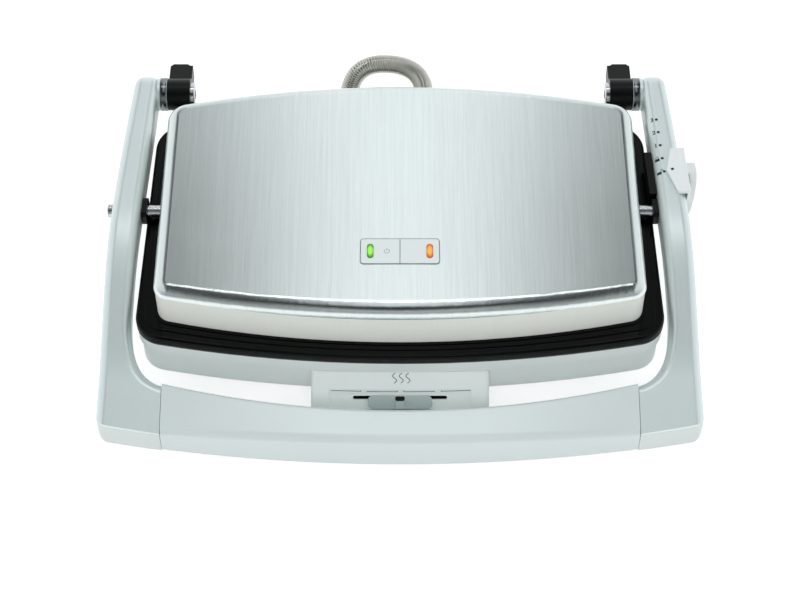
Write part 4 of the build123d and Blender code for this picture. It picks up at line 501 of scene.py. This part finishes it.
def line_mesh(points, width, straight=False):
    """Low rounded ridge along the points, as a raised or printed line."""
    curve = bpy.data.curves.new("mark_line", "CURVE")
    curve.dimensions = "3D"
    curve.resolution_u = 8
    curve.bevel_depth = width / 2
    curve.bevel_resolution = 1
    curve.use_fill_caps = True
    line = curve.splines.new("POLY" if straight else "NURBS")
    line.points.add(len(points) - 1)
    for point, place in zip(line.points, points):
        point.co = (place[0], place[1], 0.0, 1.0)
    if not straight:
        line.order_u = 3
        line.use_endpoint_u = True
    holder = bpy.data.objects.new("mark_line", curve)
    scene.collection.objects.link(holder)
    return baked(holder)


def text_mesh(words, size):
    """Flat mesh of a printed numeral."""
    text = bpy.data.curves.new("numeral", "FONT")
    text.body = words
    text.size = size
    text.offset = 0.028 * size
    text.align_x = "CENTER"
    text.align_y = "CENTER"
    text.resolution_u = 4
    holder = bpy.data.objects.new("numeral", text)
    scene.collection.objects.link(holder)
    return baked(holder)


def disc_mesh(radius):
    """Flat printed dot."""
    shape = bmesh.new()
    bmesh.ops.create_circle(shape, cap_ends=True, segments=24, radius=radius)
    mesh = bpy.data.meshes.new("dot")
    shape.to_mesh(mesh)
    shape.free()
    return mesh


def block_mesh(width, height):
    """Flat printed block with rounded corners."""
    shape = bmesh.new()
    bmesh.ops.create_grid(shape, x_segments=1, y_segments=1, size=0.5)
    bmesh.ops.scale(shape, verts=shape.verts, vec=(width, height, 1.0))
    bmesh.ops.bevel(shape, geom=shape.verts, offset=0.15 * width, affect="VERTICES", segments=3, profile=0.5,
                    material=-1)
    mesh = bpy.data.meshes.new("block")
    shape.to_mesh(mesh)
    shape.free()
    return mesh


def lay_marks(name, marks, carrier, facing, finish, body):
    """Joins marks, each a mesh with its place on the facing plane, and lays them on the carrier's surface.

    Each mark is first sliced in x, so that it can follow a curved surface.
    """
    outward = facing.to_3x3() @ Vector((0.0, 0.0, 1.0))
    target = nodes[carrier]
    joined = bmesh.new()
    for mesh, place in marks:
        mark = bmesh.new()
        mark.from_mesh(mesh)
        bmesh.ops.scale(mark, verts=mark.verts, vec=(1.0, 1.0, MARK_FLATNESS))
        bmesh.ops.translate(mark, verts=mark.verts, vec=(place[0], place[1], 0.0))
        low = min(v.co.x for v in mark.verts)
        high = max(v.co.x for v in mark.verts)
        cut = low + MARK_SLICE
        while cut < high:
            bmesh.ops.bisect_plane(mark, geom=mark.verts[:] + mark.edges[:] + mark.faces[:], plane_co=(cut, 0, 0),
                                   plane_no=(1, 0, 0))
            cut += MARK_SLICE
        mark.to_mesh(mesh)
        mark.free()
        joined.from_mesh(mesh)
        bpy.data.meshes.remove(mesh)
    for vertex in joined.verts:
        above = facing @ Vector((vertex.co.x, vertex.co.y, 0.02))
        hit, spot, _, _ = target.ray_cast(above, -outward)
        if not hit:
            spot = facing @ Vector((vertex.co.x, vertex.co.y, 0.0))
        vertex.co = spot + outward * (vertex.co.z + MARK_LIFT)
    mesh = bpy.data.meshes.new(name)
    joined.to_mesh(mesh)
    joined.free()
    add_piece(name, mesh, finish, body)


ARM_INNER_AT_ZERO = 171.8 * MM
ARM_TOP = 74.0 * MM
ARM_TAPER = 0.0476
DOT_RADIUS = 1.05 * MM
DOT_X = 6.2 * MM
NUMERAL_SIZE = 4.4 * MM
NUMERAL_X = 3.3 * MM


def make_arm_scale(finishes):
    """Height scale on the right arm: three numbered dots, then shut and open padlocks."""
    slope = math.atan(ARM_TAPER)
    facing = Matrix.Translation((ARM_INNER_AT_ZERO, 0.0, ARM_TOP)) @ Matrix.Rotation(slope, 4, "Z")
    marks = []
    for level, words in ((86.4, "3"), (75.3, "2"), (63.9, "1")):
        marks.append((disc_mesh(DOT_RADIUS), (DOT_X, level * MM)))
        marks.append((text_mesh(words, NUMERAL_SIZE), (NUMERAL_X, level * MM)))
    for level, gap in ((52.6, 0.0), (41.3, 1.9)):
        marks.append((disc_mesh(DOT_RADIUS), (DOT_X, level * MM)))
        marks.append((block_mesh(2.9 * MM, 2.1 * MM), (2.9 * MM, (level - 1.0) * MM)))
        bow = ((-0.75, -0.2), (-0.75, 1.3), (0.0, 1.75), (0.75, 1.3), (0.75, -0.2 if gap == 0 else 0.5))
        marks.append((line_mesh([(x * MM, y * MM) for x, y in bow], 0.4 * MM),
                      ((2.9 + gap) * MM, (level + 0.2) * MM)))
    lay_marks("arm_scale", marks, "arm_right", facing, finishes["print"], "handle")


def make_knob_dot(finishes):
    """Pointer dot on the height knob's plate."""
    facing = Matrix.Translation((181.2 * MM, 41.5 * MM, 76.7 * MM))
    lay_marks("knob_dot", [(disc_mesh(DOT_RADIUS), (0.0, 0.0))], "height_knob", facing, finishes["print"],
              "height_slider")


def make_console_marks(finishes):
    """Heat waves and the four strokes of the heat scale on the sloped console."""
    marks = []
    wave = ((0.5, 3.3), (-1.4, 2.0), (-1.2, 0.8), (1.2, -0.8), (1.4, -2.0), (-0.2, -3.3))
    for offset in (-4.3, 0.0, 4.3):
        marks.append((line_mesh([(x * MM, y * MM) for x, y in wave], 0.55 * MM), ((offset + 0.8) * MM, -3.9 * MM)))
    for left, right in ((-44.5, -25.3), (-21.6, -1.6), (2.4, 22.6), (26.6, 45.6)):
        bowed = [(x * MM, (0.8 * (x / 40) ** 2) * MM) for x in (left, (left + right) / 2, right)]
        inner = left if left > 0 else right
        tick = [(inner * MM, 0.9 * MM), (inner * MM, 0.0)]
        for stroke in (bowed, tick):
            marks.append((line_mesh(stroke, 0.5 * MM, straight=True), (0.0, -13.0 * MM)))
    lay_marks("console_marks", marks, "base_housing", CONSOLE_FACE, finishes["mid print"], "base")


def make_power_mark(finishes):
    """Faint stand-by sign beside the green lamp."""
    facing = Matrix.Translation((-8.4 * MM, PANEL_Y, PANEL_TOP))
    radius = 1.7 * MM
    turns = [math.radians(angle) for angle in range(35, 326, 29)]
    ring = [(radius * math.sin(turn), radius * math.cos(turn)) for turn in turns]
    bar = [(0.0, 0.3 * MM), (0.0, 2.2 * MM)]
    marks = [(line_mesh(ring, 0.4 * MM), (0.0, 0.0)), (line_mesh(bar, 0.4 * MM, straight=True), (0.0, 0.0))]
    lay_marks("power_mark", marks, "indicator_panel", facing, finishes["pale print"], "lid")


PANEL_HALF_WIDTH = 25.35 * MM
PANEL_HALF_DEPTH = 10.05 * MM
PANEL_CORNER = 2.2 * MM


def make_panel_gap_shadow(finishes):
    """Painted shadow: a thin dark line all round the indicator panel for the shaded gap at its edge, and the shadow
    line between its two tiles.
    """
    outline = []
    for side, end, start in ((1, 1, 0), (-1, 1, 90), (-1, -1, 180), (1, -1, 270)):
        middle_x = side * (PANEL_HALF_WIDTH - PANEL_CORNER)
        middle_y = end * (PANEL_HALF_DEPTH - PANEL_CORNER)
        for angle in range(start, start + 91, 18):
            outline.append((middle_x + PANEL_CORNER * math.cos(math.radians(angle)),
                            middle_y + PANEL_CORNER * math.sin(math.radians(angle))))
    marks = [(line_mesh(outline + outline[:1], 0.45 * MM, straight=True), (0.0, 0.0))]
    lay_marks("panel_gap_shadow", marks, "lid_cover", PANEL_FACE, finishes["mid print"], "lid")
    split = [(0.0, -0.93 * PANEL_HALF_DEPTH), (0.0, 0.93 * PANEL_HALF_DEPTH)]
    lay_marks("panel_split", [(line_mesh(split, 0.4 * MM, straight=True), (0.0, 0.0))], "indicator_panel",
              PANEL_FACE, finishes["mid print"], "lid")


def make_slider_gap_shade(finishes):
    """Painted shade: a flat dark block for the shaded gap above the thumb ridge of the heat slider."""
    marks = [(block_mesh(6.2 * MM, 2.7 * MM), (0.0, -17.1 * MM))]
    lay_marks("slider_gap_shade", marks, "heat_knob", CONSOLE_FACE, finishes["black nylon and gap shade"], "heat_slider")


# Stage


FLOOR_SIZE = 6.0
FLOOR_LIFT = 0.6


def make_floor():
    """Plain pale floor, lifted to white for the eye and for gloss, which still takes the press's shadow."""
    mesh = bpy.data.meshes.new("floor")
    shape = bmesh.new()
    bmesh.ops.create_grid(shape, x_segments=1, y_segments=1, size=FLOOR_SIZE)
    shape.to_mesh(mesh)
    shape.free()
    floor = bpy.data.objects.new("floor", mesh)
    scene.collection.objects.link(floor)
    material, tree, shader, _ = start_material("matt_white_floor", {"Roughness": 0.9, "Specular IOR Level": 0.0})
    shader.inputs["Base Color"].default_value = linear("E6E6E6")
    path = add_node(tree, "ShaderNodeLightPath")
    seen = add_node(tree, "ShaderNodeMath", {"operation": "MAXIMUM"},
                    links={0: (path, "Is Camera Ray"), 1: (path, "Is Glossy Ray")})
    through = add_node(tree, "ShaderNodeMath", {"operation": "MAXIMUM"},
                       links={0: (seen, 0), 1: (path, "Is Transmission Ray")})
    lift = add_node(tree, "ShaderNodeMath", {"operation": "MULTIPLY"}, {1: FLOOR_LIFT}, {0: (through, 0)})
    glow = add_node(tree, "ShaderNodeEmission", links={"Strength": (lift, 0)})
    both = add_node(tree, "ShaderNodeAddShader", links={0: (shader, "BSDF"), 1: (glow, "Emission")})
    output = next(n for n in tree.nodes if n.type == "OUTPUT_MATERIAL")
    tree.links.new(both.outputs[0], output.inputs["Surface"])
    mesh.materials.append(material)


# Middle of the dark place in the studio's reflection, seen from the press toward the front and up
DARK_PLACE = (0.0, -0.65, 0.76)
SKY_FOR_THE_EYE = 1.15


def light_world():
    """White studio: overhead a bright strip between two grey gaps, and a dark place toward the front.

    The strip widens toward the rear, pale walls stand round it lower down, and the eye itself sees plain white.
    """
    world = bpy.data.worlds.new("studio")
    scene.world = world
    world.use_nodes = True
    tree = world.node_tree
    tree.nodes.clear()
    place = add_node(tree, "ShaderNodeTexCoord")
    axes = add_node(tree, "ShaderNodeSeparateXYZ", links={0: (place, "Generated")})
    across = add_node(tree, "ShaderNodeMath", {"operation": "ABSOLUTE"}, links={0: (axes, "X")})
    flare = add_node(tree, "ShaderNodeMapRange",
                     values={"From Min": 0.745, "From Max": 0.80, "To Min": 0.68, "To Max": 1.35},
                     links={"Value": (axes, "Z")})
    aside = add_node(tree, "ShaderNodeMath", {"operation": "MULTIPLY"}, links={0: (across, 0), 1: (flare, "Result")})
    strip = add_node(tree, "ShaderNodeMapRange", {"interpolation_type": "SMOOTHSTEP"},
                     {"From Min": 0.03, "From Max": 0.20, "To Min": 1.35, "To Max": 0.02}, {"Value": (aside, 0)})
    sides = add_node(tree, "ShaderNodeMapRange", {"interpolation_type": "SMOOTHSTEP"},
                     {"From Min": 0.38, "From Max": 0.52, "To Min": 0.0, "To Max": 0.92}, {"Value": (across, 0)})
    above = add_node(tree, "ShaderNodeMath", {"operation": "ADD"}, links={0: (strip, "Result"), 1: (sides, "Result")})
    low = add_node(tree, "ShaderNodeMapRange", {"interpolation_type": "SMOOTHSTEP"},
                   {"From Min": 0.25, "From Max": 0.74, "To Min": 1.0, "To Max": 0.0}, {"Value": (axes, "Z")})
    wall = add_node(tree, "ShaderNodeMapRange",
                    values={"From Min": -0.9, "From Max": 0.2, "To Min": 0.42, "To Max": 1.1},
                    links={"Value": (axes, "Y")})
    height = add_node(tree, "ShaderNodeMix", {"data_type": "FLOAT"},
                      links={0: (low, "Result"), 2: (above, 0), 3: (wall, "Result")})
    toward = add_node(tree, "ShaderNodeMapping",
                      values={"Location": [-part for part in DARK_PLACE], "Scale": (2.0, 1.0, 1.0)},
                      links={"Vector": (place, "Generated")})
    reach = add_node(tree, "ShaderNodeVectorMath", {"operation": "LENGTH"}, links={0: (toward, "Vector")})
    shade = add_node(tree, "ShaderNodeMapRange", {"interpolation_type": "SMOOTHSTEP"},
                     {"From Min": 0.22, "From Max": 0.455}, {"Value": (reach, "Value")})
    level = add_node(tree, "ShaderNodeMath", {"operation": "MULTIPLY"}, links={0: (height, 0), 1: (shade, "Result")})
    path = add_node(tree, "ShaderNodeLightPath")
    strength = add_node(tree, "ShaderNodeMix", {"data_type": "FLOAT"}, {3: SKY_FOR_THE_EYE},
                        {0: (path, "Is Camera Ray"), 2: (level, 0)})
    sky = add_node(tree, "ShaderNodeBackground", values={"Color": linear("F8FCFD")},
                   links={"Strength": (strength, 0)})
    add_node(tree, "ShaderNodeOutputWorld", links={"Surface": (sky, "Background")})


def add_softbox(name, place, size, power, mirrored=True):
    """Rectangular softbox aimed at the middle of the lid."""
    lamp = bpy.data.objects.new(name, bpy.data.lights.new(name, "AREA"))
    lamp.data.shape = "RECTANGLE"
    lamp.data.size, lamp.data.size_y = size
    lamp.data.energy = power
    lamp.location = place
    lamp.visible_glossy = mirrored
    aim = Vector((0.0, 0.0, 0.06)) - Vector(place)
    lamp.rotation_euler = aim.to_track_quat("-Z", "Y").to_euler()
    scene.collection.objects.link(lamp)


def light_stage():
    """Narrow strip overhead that draws light lines on the edges, and a fill beside the camera for the shadows."""
    add_softbox("edge_strip", (0.0, 0.62, 1.9), (1.4, 0.12), 3.0)
    add_softbox("camera_fill", (0.0, -1.3, 1.42), (1.2, 1.2), 11.8, mirrored=False)


place_camera()
finishes = make_finishes()
finish_nodes(finishes)
make_hose(finishes)
make_hub_sleeves(finishes)
make_arm_scale(finishes)
make_knob_dot(finishes)
make_console_marks(finishes)
make_power_mark(finishes)
make_slider_gap_shade(finishes)
make_panel_gap_shadow(finishes)
make_floor()
light_world()
light_stage()
